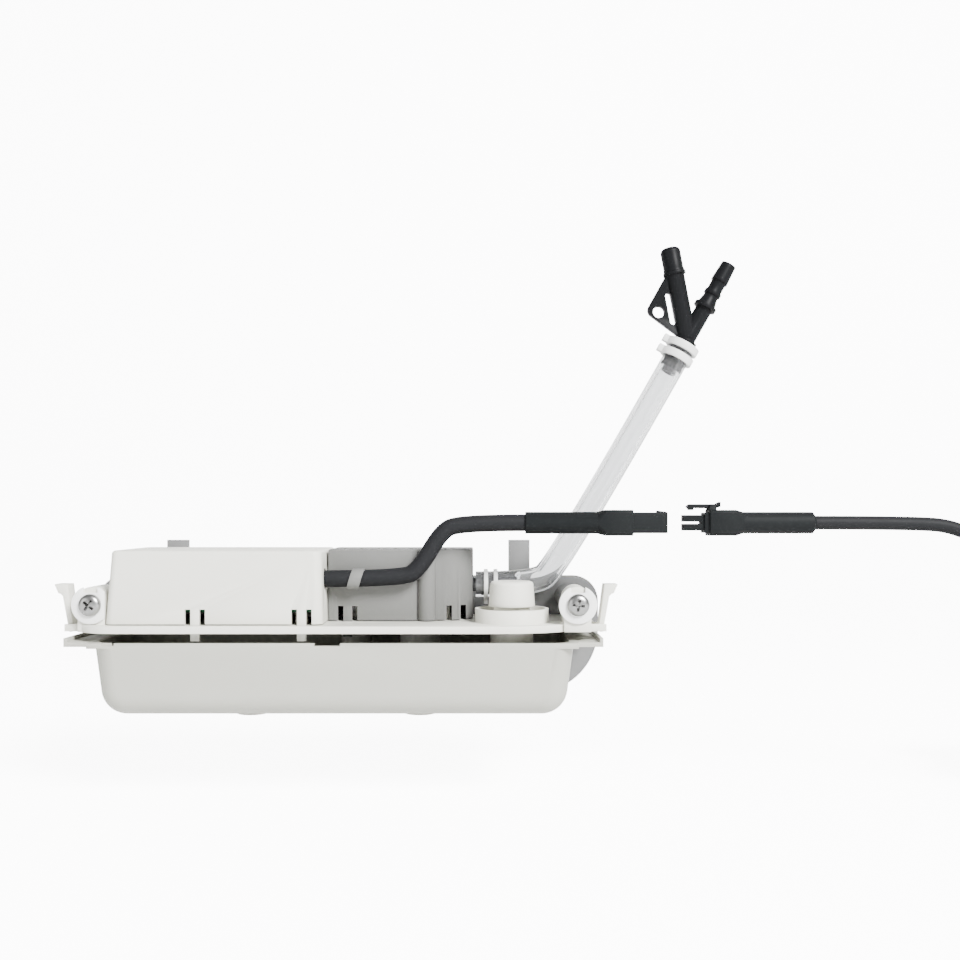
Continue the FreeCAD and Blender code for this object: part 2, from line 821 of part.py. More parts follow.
def plate_end(owner, way, sign):
    """The screw's arch, the lever's lugs and pin, and the tank's leg at one end of the plate."""
    middle = f"{sign}{SCREW_SIDE}"
    crown = "(dim.screw_high + dim.boss_crown)"
    arch = outline(sketch(owner, f"arch_plan_{way}", "XZ", "-dim.boss_front"), [
        (f"{middle} - dim.boss_half", "dim.plate_low"),
        (f"{middle} + dim.boss_half", "dim.plate_low"),
        (f"{middle} + dim.boss_half", crown, "dim.boss_half", 1),
        (f"{middle} - dim.boss_half", crown),
    ])
    pad(owner, f"arch_{way}", arch, "dim.boss_back - dim.boss_front", backwards=True)
    inner = "(dim.boss_half - dim.boss_wall)"
    room = outline(sketch(owner, f"arch_room_plan_{way}", "XZ", "-dim.boss_back"), [
        (f"{middle} - {inner}", PLATE_TOP),
        (f"{middle} + {inner}", PLATE_TOP),
        (f"{middle} + {inner}", crown, inner, 1),
        (f"{middle} - {inner}", crown),
    ])
    pocket(
        owner, f"arch_room_{way}", room, "dim.boss_back - dim.boss_front - dim.boss_wall", backwards=True
    )
    hole = circle(
        sketch(owner, f"arch_hole_plan_{way}", "XZ", "-dim.boss_front"),
        "dim.boss_hole", (middle, "dim.screw_high"),
    )
    pocket(owner, f"arch_hole_{way}", hole, "dim.boss_wall + dim.cut_over")
    # Two lugs with the lever's pin between them
    half = "(dim.lever_wide / 2 + dim.slide_gap)"
    for name, near in (
        ("front", f"dim.lever_mid - {half} - dim.lever_lug"),
        ("rear", f"dim.lever_mid + {half}"),
    ):
        ends = [
            f"{sign}({SCREW_SIDE} + dim.boss_half - dim.lever_lug)",
            f"{sign}({LEVER_HINGE} + dim.lever_barrel)",
        ]
        if sign:
            ends.reverse()
        lug = rectangle(
            sketch(owner, f"lug_plan_{way}_{name}", "XY", "dim.plate_low"),
            ends[0], near, ends[1], f"{near} + dim.lever_lug",
        )
        pad(owner, f"lug_{way}_{name}", lug, "dim.plate_thick")
    pin = circle(
        sketch(owner, f"lever_pin_plan_{way}", "XZ", f"-(dim.lever_mid - {half} - dim.lever_lug)"),
        "dim.lever_pin", (f"{sign}{LEVER_HINGE}", HINGE_HIGH),
    )
    pad(owner, f"lever_pin_{way}", pin, f"2 * ({half} + dim.lever_lug)", backwards=True)
    at = (f"{sign}{LEG_SIDE}", "dim.leg_deep")
    leg_low = "dim.tank_high + dim.seat_gap"
    leg = circle(sketch(owner, f"leg_plan_{way}", "XY", leg_low), "dim.leg_round", at)
    pad(owner, f"leg_{way}", leg, "dim.plate_low - dim.tank_high - dim.seat_gap")
    peg_low = "dim.tank_high - dim.leg_pin_long"
    peg = circle(sketch(owner, f"peg_plan_{way}", "XY", peg_low), "dim.leg_pin", at)
    pad(owner, f"peg_{way}", peg, "dim.leg_pin_long + dim.seat_gap")


# Wall plate


def wall_plate():
    owner = body("wall_body")
    front = "(dim.unit_deep - dim.wall_thick)"
    half = f"({PLATE_END} + dim.wall_over)"
    upper = "dim.wall_upper_round"
    lower = "dim.wall_lower_round"
    back = outline(sketch(owner, "wall_outline", "XZ", f"-{front}"), [
        (f"-{half} + {lower}", "dim.wall_low"),
        (f"{half} - {lower}", "dim.wall_low", lower, 1),
        (half, f"dim.wall_low + {lower}"),
        (half, f"dim.wall_top - {upper}", upper, 1),
        (f"{half} - {upper}", "dim.wall_top"),
        (f"-{half} + {upper}", "dim.wall_top", upper, 1),
        (f"-{half}", f"dim.wall_top - {upper}"),
        (f"-{half}", f"dim.wall_low + {lower}", lower, 1),
    ])
    pad(owner, "wall_sheet", back, "dim.wall_thick", backwards=True)
    for way, sign in (("left", "-"), ("right", "")):
        post = rectangle(
            sketch(owner, f"post_outline_{way}", "XZ", f"-{front}"),
            f"{sign}dim.post_side - dim.post_wide / 2", "dim.wall_top - dim.cut_over",
            f"{sign}dim.post_side + dim.post_wide / 2", "dim.post_top",
        )
        pad(owner, f"post_{way}", post, "dim.wall_thick", backwards=True)
        # The column that the rubber-mounted screw goes into
        at = (f"{sign}{SCREW_SIDE}", "dim.screw_high")
        column = circle(sketch(owner, f"column_plan_{way}", "XZ", f"-{front}"), "dim.column_outer", at)
        pad(owner, f"column_{way}", column, f"{front} - dim.column_front")
        bore = circle(
            sketch(owner, f"column_bore_plan_{way}", "XZ", "-dim.column_front"),
            "dim.screw_shank + dim.slide_gap", at,
        )
        pocket(owner, f"column_bore_{way}", bore, "dim.screw_long")
        hole = circle(
            sketch(owner, f"wall_hole_plan_{way}", "XZ", f"-{front}"),
            "dim.wall_hole_round", (f"{sign}dim.wall_hole_side", "dim.wall_hole_high"),
        )
        pocket(owner, f"wall_hole_{way}", hole, "dim.wall_thick + dim.cut_over")
    # The rail that the plate's rear edge rests on
    rail = rectangle(
        sketch(owner, "rail_plan", "XY", "dim.plate_low - dim.rail_high"),
        "-dim.post_side", "dim.tank_deep + dim.lip_back + dim.seat_gap", "dim.post_side", front,
    )
    pad(owner, "rail", rail, "dim.rail_high")
    return keep(owner, "wall_plate")


# Covers


def tongues(owner, mark, middle, near, face, deep):
    """A snap tongue between two slots in a cover's front wall, with its hook under the plate.
    The slots start at the given face and run so deep. The tongue's front is at near."""
    for way, sign in (("left", "-"), ("right", "+")):
        edge = f"{middle} {sign} dim.tongue_wide / 2"
        ends = [edge, f"{edge} {sign} dim.tongue_slot"]
        if sign == "-":
            ends.reverse()
        slot = rectangle(
            sketch(owner, f"tongue_slot_plan_{mark}_{way}", "XZ", f"-{face}"),
            ends[0], f"{PLATE_TOP} - dim.cut_over", ends[1], f"{PLATE_TOP} + dim.tongue_high",
        )
        pocket(owner, f"tongue_slot_{mark}_{way}", slot, deep)
    tongue = rectangle(
        sketch(owner, f"tongue_plan_{mark}", "XZ", f"-{near}"),
        f"{middle} - dim.tongue_wide / 2", f"{PLATE_TOP} - dim.tongue_drop",
        f"{middle} + dim.tongue_wide / 2", f"{PLATE_TOP} + dim.cut_over",
    )
    pad(owner, f"tongue_{mark}", tongue, "dim.tongue_thick", backwards=True)


def electronics_cover():
    owner = body("box_body")
    lean = "dim.box_lean"
    front = outline(sketch(owner, "box_front", "XZ", "-dim.box_front"), [
        (BOX_LEFT, PLATE_TOP),
        ("dim.box_right", PLATE_TOP),
        ("dim.box_right - dim.box_lean_in", "dim.cover_top"),
        (f"{BOX_LEFT} + {lean}", "dim.cover_top"),
    ])
    pad(owner, "box_form", front, "dim.box_back - dim.box_front", backwards=True)
    cover_finish(owner, "box")
    hole = circle(
        sketch(owner, "box_gland_plan", "YZ", "dim.box_right + dim.cut_over"),
        "dim.gland_neck", ("dim.lead_deep", "dim.lead_high"),
    )
    pocket(owner, "box_gland_hole", hole, "dim.cover_wall + 3 * dim.cut_over")
    for mark in ("box_a", "box_b"):
        tongues(owner, mark, *TONGUES[mark], "dim.box_front", "dim.cover_wall + dim.slot_over")
    return keep(owner, "electronics_cover")


def cover_finish(owner, name):
    """Rounds a cover's upright corners and top edge and hollows it from below."""
    low = number(PLATE_TOP)
    top = number("dim.cover_top")
    rounded(owner, f"{name}_corners", "dim.cover_corner", lambda b: b.ZLength > top - low - 0.1)
    hollow(owner, f"{name}_shell", "dim.cover_wall", lambda b: b.ZMax < low + 0.1)
    rounded(owner, f"{name}_top_edge", "dim.cover_edge", lambda b: b.ZMin > top - 0.1)


def pump_cover():
    owner = body("case_body")
    left = "(dim.box_right + dim.case_gap)"
    front = "dim.case_front"
    step = f"({front} + dim.case_step)"
    side = "dim.case_side_round"
    plan = outline(sketch(owner, "case_plan", "XY", PLATE_TOP), [
        (left, "dim.case_back"),
        (left, front),
        ("dim.case_rib - dim.case_rib_round - dim.case_slant", front),
        ("dim.case_rib - dim.case_rib_round", step, "dim.case_rib_round", 1),
        ("dim.case_rib + dim.case_rib_round", step),
        (f"dim.case_right - {side}", step, side, 1),
        ("dim.case_right", f"{step} + {side}"),
        ("dim.case_right", "dim.case_back"),
    ])
    pad(owner, "case_form", plan, f"dim.cover_top - {PLATE_TOP}")
    top = number("dim.cover_top")
    low = number(PLATE_TOP)
    hollow(owner, "case_shell", "dim.cover_wall", lambda b: b.ZMax < low + 0.1)
    rounded(owner, "case_top_edge", "dim.cover_edge / 2", lambda b: b.ZMin > top - 0.1)
    hole = circle(
        sketch(owner, "case_outlet_plan", "YZ", "dim.case_right + dim.cut_over"),
        "dim.gland_neck", ("dim.pump_deep", "dim.pump_high"),
    )
    pocket(owner, "case_outlet", hole, "dim.cover_wall + 2 * dim.cut_over")
    vents = sketch(owner, "case_vent_plan", "XY", "dim.cover_top")
    for count in range(int(number("dim.case_vents"))):
        near = f"dim.case_vent_first + {count} * dim.case_vent_pitch"
        rectangle(
            vents, near, f"{front} + dim.cover_corner",
            f"{near} + dim.case_vent_wide", f"{front} + dim.cover_corner + dim.case_vent_long",
        )
    pocket(owner, "case_vents", vents, "dim.cover_wall + dim.cut_over")
    tongues(owner, "case_a", *TONGUES["case_a"], front, "dim.cover_wall + dim.slot_over")
    tongues(owner, "case_b", *TONGUES["case_b"], front, side)
    return keep(owner, "pump_cover")


# Screws in their rubber bushes

SIDES = (("left", "-"), ("right", ""))


def bushes():
    """A rubber bush in each arch, with a keyhole notch at the top of its front flange."""
    for way, sign in SIDES:
        middle = f"{sign}{SCREW_SIDE}"
        owner = body(f"bush_{way}_body")
        profile = (
            (
                "flange", "dim.bush_flange",
                "dim.boss_front - dim.bush_flange_thick", "dim.bush_flange_thick",
            ),
            ("neck", "dim.boss_hole - dim.slide_gap", "dim.boss_front", "dim.boss_wall"),
            (
                "rear", "dim.boss_half - dim.boss_wall - dim.slide_gap",
                "dim.boss_front + dim.boss_wall", "dim.bush_flange_thick",
            ),
        )
        for name, radius, near, thick in profile:
            ring = circle(
                sketch(owner, f"bush_{name}_plan_{way}", "XZ", f"-({near})"),
                radius, (middle, "dim.screw_high"),
            )
            pad(owner, f"bush_{name}_{way}", ring, thick, backwards=True)
        near = "dim.boss_front - dim.bush_flange_thick"
        bore = circle(
            sketch(owner, f"bush_bore_plan_{way}", "XZ", f"-({near})"),
            "dim.screw_shank + dim.slide_gap", (middle, "dim.screw_high"),
        )
        pocket(owner, f"bush_bore_{way}", bore, "dim.boss_back")
        notch = rectangle(
            sketch(owner, f"bush_notch_plan_{way}", "XZ", f"-({near})"),
            f"{middle} - dim.bush_notch / 2", "dim.screw_high + dim.bush_flange - dim.bush_notch_deep",
            f"{middle} + dim.bush_notch / 2", "dim.screw_high + dim.bush_flange + dim.cut_over",
        )
        pocket(owner, f"bush_notch_{way}", notch, "dim.bush_flange_thick")
        if way == "left":
            # The electronics cover leaves no room for the whole flange
            flat = rectangle(
                sketch(owner, "bush_flat_plan", "XZ", f"-({near})"),
                f"{middle} + dim.bush_flat", "dim.screw_high - dim.bush_flange",
                f"{middle} + dim.bush_flange", "dim.screw_high + dim.bush_flange",
            )
            pocket(owner, "bush_flat", flat, "dim.bush_flange_thick")
        keep(owner, f"rubber_bush_{way}")


def screws():
    """Two pan-head screws with crossed recesses."""
    face = "(dim.boss_front - dim.bush_flange_thick)"
    made = []
    for way, sign in SIDES:
        at = (f"{sign}{SCREW_SIDE}", f"{face} - dim.screw_head_high", "dim.screw_high")
        dome = cone(
            f"screw_dome_{way}", "dim.screw_dome", "dim.screw_head", "dim.screw_head_high", at, "y"
        )
        shank = rod(
            f"screw_shank_{way}", "dim.screw_shank", "dim.screw_long",
            (at[0], face, "dim.screw_high"), "y",
        )
        slots = []
        for name, wide, tall in (
            ("flat", "dim.cross_long", "dim.cross_wide"), ("upright", "dim.cross_wide", "dim.cross_long")
        ):
            slots.append(box(
                f"screw_slot_{way}_{name}", (wide, "dim.cross_deep", tall),
                (f"{at[0]} - {wide} / 2", at[1], f"dim.screw_high - {tall} / 2"),
            ))
        made.append(cut(f"screw_{way}", fuse(f"screw_whole_{way}", dome, shank), *slots))
    keep(fuse("screws", *made), "fixing_screws")


# Release levers


def levers():
    """A thumb lever hinged at each end of the plate."""
    half = "dim.lever_wide / 2"
    for way, sign in SIDES:
        owner = body(f"lever_{way}_body")
        near = f"-(dim.lever_mid - {half})"

        def across(text):
            return f"{sign}({text})"

        thick = "dim.lever_thick"
        hinge = LEVER_HINGE
        top = "dim.lever_top"
        out = f"{hinge} + dim.thumb_reach"
        points = [
            (across(f"{hinge} - {thick} / 2"), HINGE_HIGH),
            (across(f"{hinge} + {thick} / 2"), HINGE_HIGH),
            (across(f"{hinge} + {thick} / 2 + dim.lever_lean"), "dim.lever_thumb_low - dim.lever_chamfer"),
            (across(f"{hinge} + {thick} / 2 + dim.lever_lean + dim.lever_chamfer"), "dim.lever_thumb_low"),
            (across(f"{out} - dim.thumb_tip"), "dim.lever_thumb_low"),
            (across(out), top),
            (across(f"{hinge} - {thick} / 2 + dim.lever_lean"), top),
        ]
        if sign:
            points.reverse()
        arm = outline(sketch(owner, f"lever_plan_{way}", "XZ", near), points)
        pad(owner, f"lever_arm_{way}", arm, "dim.lever_wide", backwards=True)
        at = (across(hinge), HINGE_HIGH)
        barrel = circle(sketch(owner, f"barrel_plan_{way}", "XZ", near), "dim.lever_barrel", at)
        pad(owner, f"barrel_{way}", barrel, "dim.lever_wide", backwards=True)
        bore = circle(
            sketch(owner, f"barrel_bore_plan_{way}", "XZ", near), "dim.lever_pin + dim.slide_gap", at
        )
        pocket(owner, f"barrel_bore_{way}", bore, "dim.lever_wide + dim.cut_over")
        keep(owner, f"release_lever_{way}")


# Inlet


def inlet_cap():
    owner = body("cap_body")
    profile = outline(sketch(owner, "cap_profile", "XZ"), [
        ("0", "dim.cap_top"),
        ("0", "dim.cap_top - dim.cap_wall"),
        ("dim.spigot_outer + dim.slide_gap", "dim.cap_top - dim.cap_wall"),
        ("dim.spigot_outer + dim.slide_gap", "dim.cap_low"),
        ("dim.cap_outer", "dim.cap_low"),
        ("dim.cap_outer - dim.cap_lean", "dim.cap_top"),
    ])
    spin(owner, "cap_form", profile)
    top = number("dim.cap_top")
    rounded(owner, "cap_edge", "dim.cap_edge", lambda b: b.ZMin > top - 0.1)
    bind(owner, {"Placement.Base.x": "dim.inlet_side", "Placement.Base.y": "dim.inlet_deep"})
    keep(owner, "inlet_cap")


def slotted_cup(name, label, outer, wall, low, top, at, slots, slot_wide, slot_high):
    """An upright cup with slots right through it, round its lower part."""
    shell = pipe(f"{name}_wall", outer, f"{outer} - {wall}", f"{top} - {low}", (*at, low))
    base = rod(f"{name}_floor", outer, wall, (*at, low))
    tools = []
    for count in range(slots):
        bar = box(
            f"{name}_slot{count}", (f"4 * {outer}", slot_wide, slot_high),
            (at[0], at[1], f"{low} + {wall} + dim.slot_rise"),
        )
        angle = 180 * count / slots
        turn = f"{angle} * 1deg"
        bar.Placement.Rotation = FreeCAD.Rotation(V(0, 0, 1), angle)
        bind(bar, {
            "Placement.Base.x": f"{at[0]} - 2 * {outer} * cos({turn}) + {slot_wide} / 2 * sin({turn})",
            "Placement.Base.y": f"{at[1]} - 2 * {outer} * sin({turn}) - {slot_wide} / 2 * cos({turn})",
        })
        tools.append(bar)
    return keep(cut(name, fuse(f"{name}_whole", shell, base), *tools), label)


def water_way():
    """The strainers, the float in its cage and the suction tube, all under the plate."""
    slotted_cup(
        "filter", "inlet_filter", "(dim.drop_outer - dim.drop_wall - dim.slide_gap)", "dim.filter_wall",
        "dim.filter_low", "(dim.drop_low + dim.filter_sink)", ("dim.inlet_side", "dim.inlet_deep"), 4,
        "dim.filter_slot_wide", "dim.filter_slot_high",
    )
    slotted_cup(
        "strainer", "suction_strainer", "dim.strainer_outer", "dim.strainer_wall",
        "dim.strainer_low", "dim.plate_low", ("dim.strainer_side", "dim.pump_deep"), 3,
        "dim.strainer_slot_wide", "dim.strainer_slot_high",
    )
    slotted_cup(
        "cage", "float_cage", "dim.cage_outer", "dim.cage_wall",
        "dim.cage_low", "dim.plate_low", ("dim.float_side", "dim.float_deep"), 2,
        "dim.cage_slot_wide", "dim.cage_slot_high",
    )
    rest = "dim.cage_low + dim.cage_wall + dim.seat_gap"
    at = ("dim.float_side", "dim.float_deep")
    float_body = rod("float_form", "dim.float_round", "dim.float_high", (*at, rest))
    upper = (*at, f"{rest} + dim.float_high * 2 / 3")
    magnet_room = rod("float_magnet_room", "dim.float_round / 2", "dim.float_high / 3", upper)
    keep(cut("float_cup", float_body, magnet_room), "float")
    magnet = rod("magnet", "dim.float_round / 2 - dim.slide_gap", "dim.float_high / 3", upper)
    keep(magnet, "float_magnet")
    low = "dim.strainer_low + dim.suction_rise"
    tube = pipe(
        "suction", "dim.suction_round", "dim.suction_bore",
        f"dim.pump_high - dim.head_outer - ({low})", ("dim.strainer_side", "dim.pump_deep", low),
    )
    keep(tube, "suction_tube")


# The pump, on one axis along x


def along(name, radius, start, end):
    """A rod on the pump's axis."""
    return rod(name, radius, f"({end}) - ({start})", (start, "dim.pump_deep", "dim.pump_high"), "x")


def pump():
    head = along("head_form", "dim.head_outer", "dim.pump_left", "dim.tube_left")
    chamber_left = "dim.tube_left - dim.valve_thick - dim.valve_lift - 2 * dim.valve_gap"
    chamber = along("head_chamber", "dim.valve_round + dim.valve_side_gap", chamber_left, "dim.tube_left")
    inflow = along("head_inflow", "dim.suction_bore", "dim.strainer_side", "dim.tube_left")
    drop = rod(
        "head_drop", "dim.suction_bore", "dim.head_outer",
        ("dim.strainer_side", "dim.pump_deep", "dim.pump_high - dim.head_outer"),
    )
    keep(cut("head", head, chamber, inflow, drop), "inlet_head")
    near = f"{chamber_left} + dim.valve_gap"
    disc = along("inlet_disc", "dim.valve_round", near, f"{near} + dim.valve_thick")
    keep(disc, "inlet_valve")
    tube = cut(
        "pump_tube", along("pump_tube_outer", "dim.tube_outer", "dim.tube_left", "dim.tube_right"),
        along("pump_tube_bore", "dim.tube_bore", "dim.tube_left", "dim.tube_right"),
    )
    keep(tube, "pump_cylinder")
    end = "dim.piston_left + dim.piston_long"
    piston = cut(
        "piston_cut", along("piston_form", "dim.tube_bore - dim.slide_gap", "dim.piston_left", end),
        along("piston_bore", "dim.piston_bore", "dim.piston_left", end),
    )
    keep(piston, "piston")
    # The magnet frame round the coil
    frame = box(
        "yoke_form", (f"{YOKE_RIGHT} - {YOKE_LEFT}", "dim.yoke_wide", "2 * dim.yoke_half"),
        (f"{YOKE_LEFT}", "dim.pump_deep - dim.yoke_wide / 2", "dim.pump_high - dim.yoke_half"),
    )
    window = box(
        "yoke_window",
        (
            f"{YOKE_RIGHT} - {YOKE_LEFT} - 2 * dim.yoke_thick", "dim.yoke_wide",
            "2 * (dim.yoke_half - dim.yoke_thick)",
        ),
        (
            f"{YOKE_LEFT} + dim.yoke_thick", "dim.pump_deep - dim.yoke_wide / 2",
            "dim.pump_high - dim.yoke_half + dim.yoke_thick",
        ),
    )
    bore = along("yoke_bore", "dim.tube_outer + dim.slide_gap", f"{YOKE_LEFT}", f"{YOKE_RIGHT}")
    keep(cut("yoke", frame, window, bore), "magnet_frame")
    # Bobbin and winding
    left = f"({YOKE_LEFT} + dim.yoke_thick)"
    right = f"({YOKE_RIGHT} - dim.yoke_thick)"
    sleeve = "(dim.tube_outer + dim.slide_gap)"
    spool = fuse(
        "bobbin_whole",
        along("bobbin_tube", f"{sleeve} + dim.bobbin_wall", left, right),
        along("bobbin_left", "dim.bobbin_flange", left, f"{left} + dim.bobbin_flange_thick"),
        along("bobbin_right", "dim.bobbin_flange", f"{right} - dim.bobbin_flange_thick", right),
    )
    keep(cut("bobbin", spool, along("bobbin_bore", sleeve, left, right)), "coil_bobbin")
    winding = cut(
        "winding",
        along(
            "winding_form", "dim.coil_outer",
            f"{left} + dim.bobbin_flange_thick", f"{right} - dim.bobbin_flange_thick",
        ),
        along("winding_bore", f"{sleeve} + dim.bobbin_wall", left, right),
    )
    keep(winding, "coil_winding")
    for way, near in (("left", "dim.tube_left"), ("right", f"{YOKE_RIGHT}")):
        far = f"{near} + dim.mount_thick"
        ring = cut(
            f"ring_{way}",
            along(f"ring_form_{way}", "dim.mount_round - dim.slide_gap", f"{near} + dim.slide_gap",
                  f"{far} - dim.slide_gap"),
            along(f"ring_bore_{way}", "dim.tube_outer + dim.slide_gap", near, far),
        )
        keep(ring, f"rubber_ring_{way}")
    springs()
    outlet()


def helix(name, label, start, long):
    """A coil spring of square wire on the pump's axis."""
    wire = number("dim.spring_wire")
    path = Part.makeHelix(long / number("dim.spring_turns"), long, number("dim.spring_round"))
    middle = V(number("dim.spring_round"), 0, 0)
    square = ((-1, -1), (1, -1), (1, 1), (-1, 1), (-1, -1))
    profile = Part.makePolygon([middle + V(x * wire, 0, z * wire) for x, z in square])
    made = doc.addObject("Part::Feature", name)
    made.Shape = Part.Wire(path.Edges).makePipeShell([profile], True, True)
    place(made, (start, "dim.pump_deep", "dim.pump_high"), "x")
    keep(made, label)


def springs():
    """The two springs that the piston swings between, each clear of it by the swing."""
    wire = "dim.spring_wire"
    left = f"(dim.tube_left + {wire} + dim.slide_gap)"
    room = number(f"dim.piston_left - dim.piston_swing - {wire} - dim.seat_gap - {left}")
    helix("spring_left", "piston_spring_left", left, room)
    end = "(dim.piston_left + dim.piston_long)"
    near = f"{end} + dim.piston_swing + {wire} + dim.seat_gap"
    room = number(f"dim.tube_right - {wire} - dim.slide_gap - ({near})")
    helix("spring_right", "piston_spring_right", near, room)


def outlet():
    """The valve seat, the outlet valve and the barbed outlet, which leaves the case."""
    seat_end = "(dim.tube_right + dim.valve_thick)"
    seat = cut(
        "seat",
        along("seat_form", "dim.head_outer", "dim.tube_right", seat_end),
        along("seat_bore", "dim.barb_bore", "dim.tube_right", seat_end),
    )
    keep(seat, "outlet_seat")
    near = f"{seat_end} + dim.valve_gap"
    disc = along("outlet_disc", "dim.valve_round", near, f"{near} + dim.valve_thick")
    keep(disc, "outlet_valve")
    owner = body("barb_body")
    room = "(dim.valve_round + dim.valve_side_gap)"
    room_end = f"{seat_end} + dim.valve_thick + dim.valve_lift + 2 * dim.valve_gap"
    inner = "(dim.case_right - dim.cover_wall - dim.head_room)"
    tooth = "((dim.barb_end - dim.barb_start) / (dim.barb_teeth + 1))"
    points = [
        (seat_end, room),
        (room_end, room),
        (room_end, "dim.barb_bore"),
        ("dim.barb_end", "dim.barb_bore"),
        ("dim.barb_end", "dim.barb_root"),
    ]
    for count in range(int(number("dim.barb_teeth"))):
        near = f"(dim.barb_end - {count} * {tooth})"
        points.append((f"{near} - {tooth}", "dim.barb_crest"))
        points.append((f"{near} - {tooth}", "dim.barb_root"))
    points += [
        (inner, "dim.barb_root"),
        (inner, "dim.head_outer"),
        (seat_end, "dim.head_outer"),
    ]
    profile = outline(sketch(owner, "barb_profile", "XZ"), points)
    spin(owner, "barb_form", profile, "H_Axis")
    bind(owner, {"Placement.Base.y": "dim.pump_deep", "Placement.Base.z": "dim.pump_high"})
    keep(owner, "outlet_barb")


# Electronics


def electronics():
    deck = "(dim.board_low + dim.board_thick)"
    board = box(
        "board",
        (f"dim.board_right - {BOARD_LEFT}", "dim.board_back - dim.board_front", "dim.board_thick"),
        (BOARD_LEFT, "dim.board_front", "dim.board_low"),
    )
    keep(board, "circuit_board")
    middle = "(dim.board_front + dim.board_back) / 2"
    core = box(
        "transformer_form", ("dim.transformer_long", "dim.transformer_deep", "dim.transformer_high"),
        (f"{BOARD_LEFT} + dim.part_edge", f"{middle} - dim.transformer_deep / 2", deck),
    )
    keep(core, "transformer")
    for count in range(2):
        relay = box(
            f"relay_{count}", ("dim.relay_long", "dim.relay_deep", "dim.relay_high"),
            (
                f"{BOARD_LEFT} + dim.relay_side",
                f"{middle} - dim.relay_front + {count} * (dim.relay_deep + dim.relay_gap)", deck,
            ),
        )
        keep(relay, f"relay_{count + 1}")
    can = rod(
        "capacitor_form", "dim.capacitor_round", "dim.capacitor_high",
        ("dim.board_right - dim.capacitor_side", f"{middle} + dim.capacitor_back", deck),
    )
    keep(can, "capacitor")
    side = "dim.board_right - dim.terminal_deep - dim.terminal_edge"
    near = f"{middle} - dim.terminal_long / 2 - dim.terminal_front"
    block = box(
        "terminal_form", ("dim.terminal_deep", "dim.terminal_long", "dim.terminal_high"), (side, near, deck)
    )
    screws_in = [
        rod(
            f"terminal_hole_{count}", "dim.terminal_hole", "dim.terminal_hole_deep + dim.cut_over",
            (
                f"{side} + dim.terminal_deep / 2", f"{near} + ({count} + 0.5) * dim.terminal_long / 4",
                f"{deck} + dim.terminal_high - dim.terminal_hole_deep",
            ),
        )
        for count in range(4)
    ]
    keep(cut("terminal", block, *screws_in), "terminal_block")


# Cords. Each route is a list of points in the sheet's own frame, chosen by hand


ARC_SHARE = 0.45


def route_wire(label, points):
    """Straight runs joined by tangent arcs. Prints each arc's radius."""
    edges = []
    start = points[0]
    for index in range(1, len(points) - 1):
        before = points[index] - points[index - 1]
        after = points[index + 1] - points[index]
        turn = before.getAngle(after)
        short = min(before.Length, after.Length)
        radius = ARC_SHARE * short / math.tan(turn / 2)
        reach = radius * math.tan(turn / 2)
        first = points[index] - before.normalize() * reach
        last = points[index] + after.normalize() * reach
        inward = (first + last) * 0.5 - points[index]
        middle = points[index] + inward.normalize() * (radius / math.cos(turn / 2) - radius)
        edges.append(Part.LineSegment(start, first).toShape())
        edges.append(Part.Arc(first, middle, last).toShape())
        start = last
        print(f"{label}: point {index} turns {math.degrees(turn):.1f} at radius {radius:.1f}")
    edges.append(Part.LineSegment(start, points[-1]).toShape())
    return Part.Wire(edges)


def swept(wire, points, radius):
    """A round tube's solid along a wire."""
    way = points[1] - points[0]
    profile = Part.Wire(Part.Circle(points[0], way, radius).toShape())
    made = wire.makePipeShell([profile], True, True)
    section = math.pi * radius ** 2 * wire.Length
    if abs(made.Volume - section) > 0.01 * section:
        raise ValueError("a tube's volume isn't its section times its length")
    return made


def cord(name, label, points, radius, bore=None):
    """A tube along a route, hollow where a bore is given."""
    spots = [V(*point) for point in points]
    wire = route_wire(label, spots)
    print(f"{label}: {wire.Length:.1f} mm long")
    shape = swept(wire, spots, radius)
    if bore:
        shape = shape.cut(swept(wire, spots, bore))
    made = doc.addObject("Part::Feature", name)
    made.Shape = shape
    keep(made, label)


def hose_points():
    """The hose's route: straight off the outlet, two small turns, then straight up the slope."""
    slope = math.radians(dim.hose_slope)
    corner = V(dim.hose_corner, dim.pump_deep, dim.pump_high)
    up = V(math.cos(slope), 0, math.sin(slope))
    start = V(dim.barb_start + dim.hose_start, dim.pump_deep, dim.pump_high)
    cut_off = V(dim.hose_cut, 0, 0)
    return [start, corner - cut_off, corner + up * dim.hose_cut, corner + up * dim.hose_end]


LEAD = [
    (-9, 15.4, 50.4),
    (24.8, 15.4, 50.4),
    (31.6, 15.4, 54.3),
    (39.6, 15.5, 68.1),
    (46.4, 15.6, 71.94),
    (72.3, 15.6, 71.94),
]
SUPPLY = [
    (183.5, 15.6, 71.94),
    (222, 15.6, 71.94),
    (238, 15, 70.4),
    (251.5, 12.8, 62),
    (259, 10.3, 47.5),
    (264, 7.5, 32),
    (271.5, 3.3, 18.5),
    (283, -3.7, 10),
    (297, -9, 7.5),
    (308, -10.55, 7.35),
]


def leads():
    cord("pump_lead_form", "pump_lead", LEAD, dim.lead_round)
    cord("hose_form", "discharge_hose", hose_points(), dim.hose_outer, dim.hose_bore)
    cord("supply_form", "supply_cable", SUPPLY, dim.supply_round)


# Socket on the pump lead


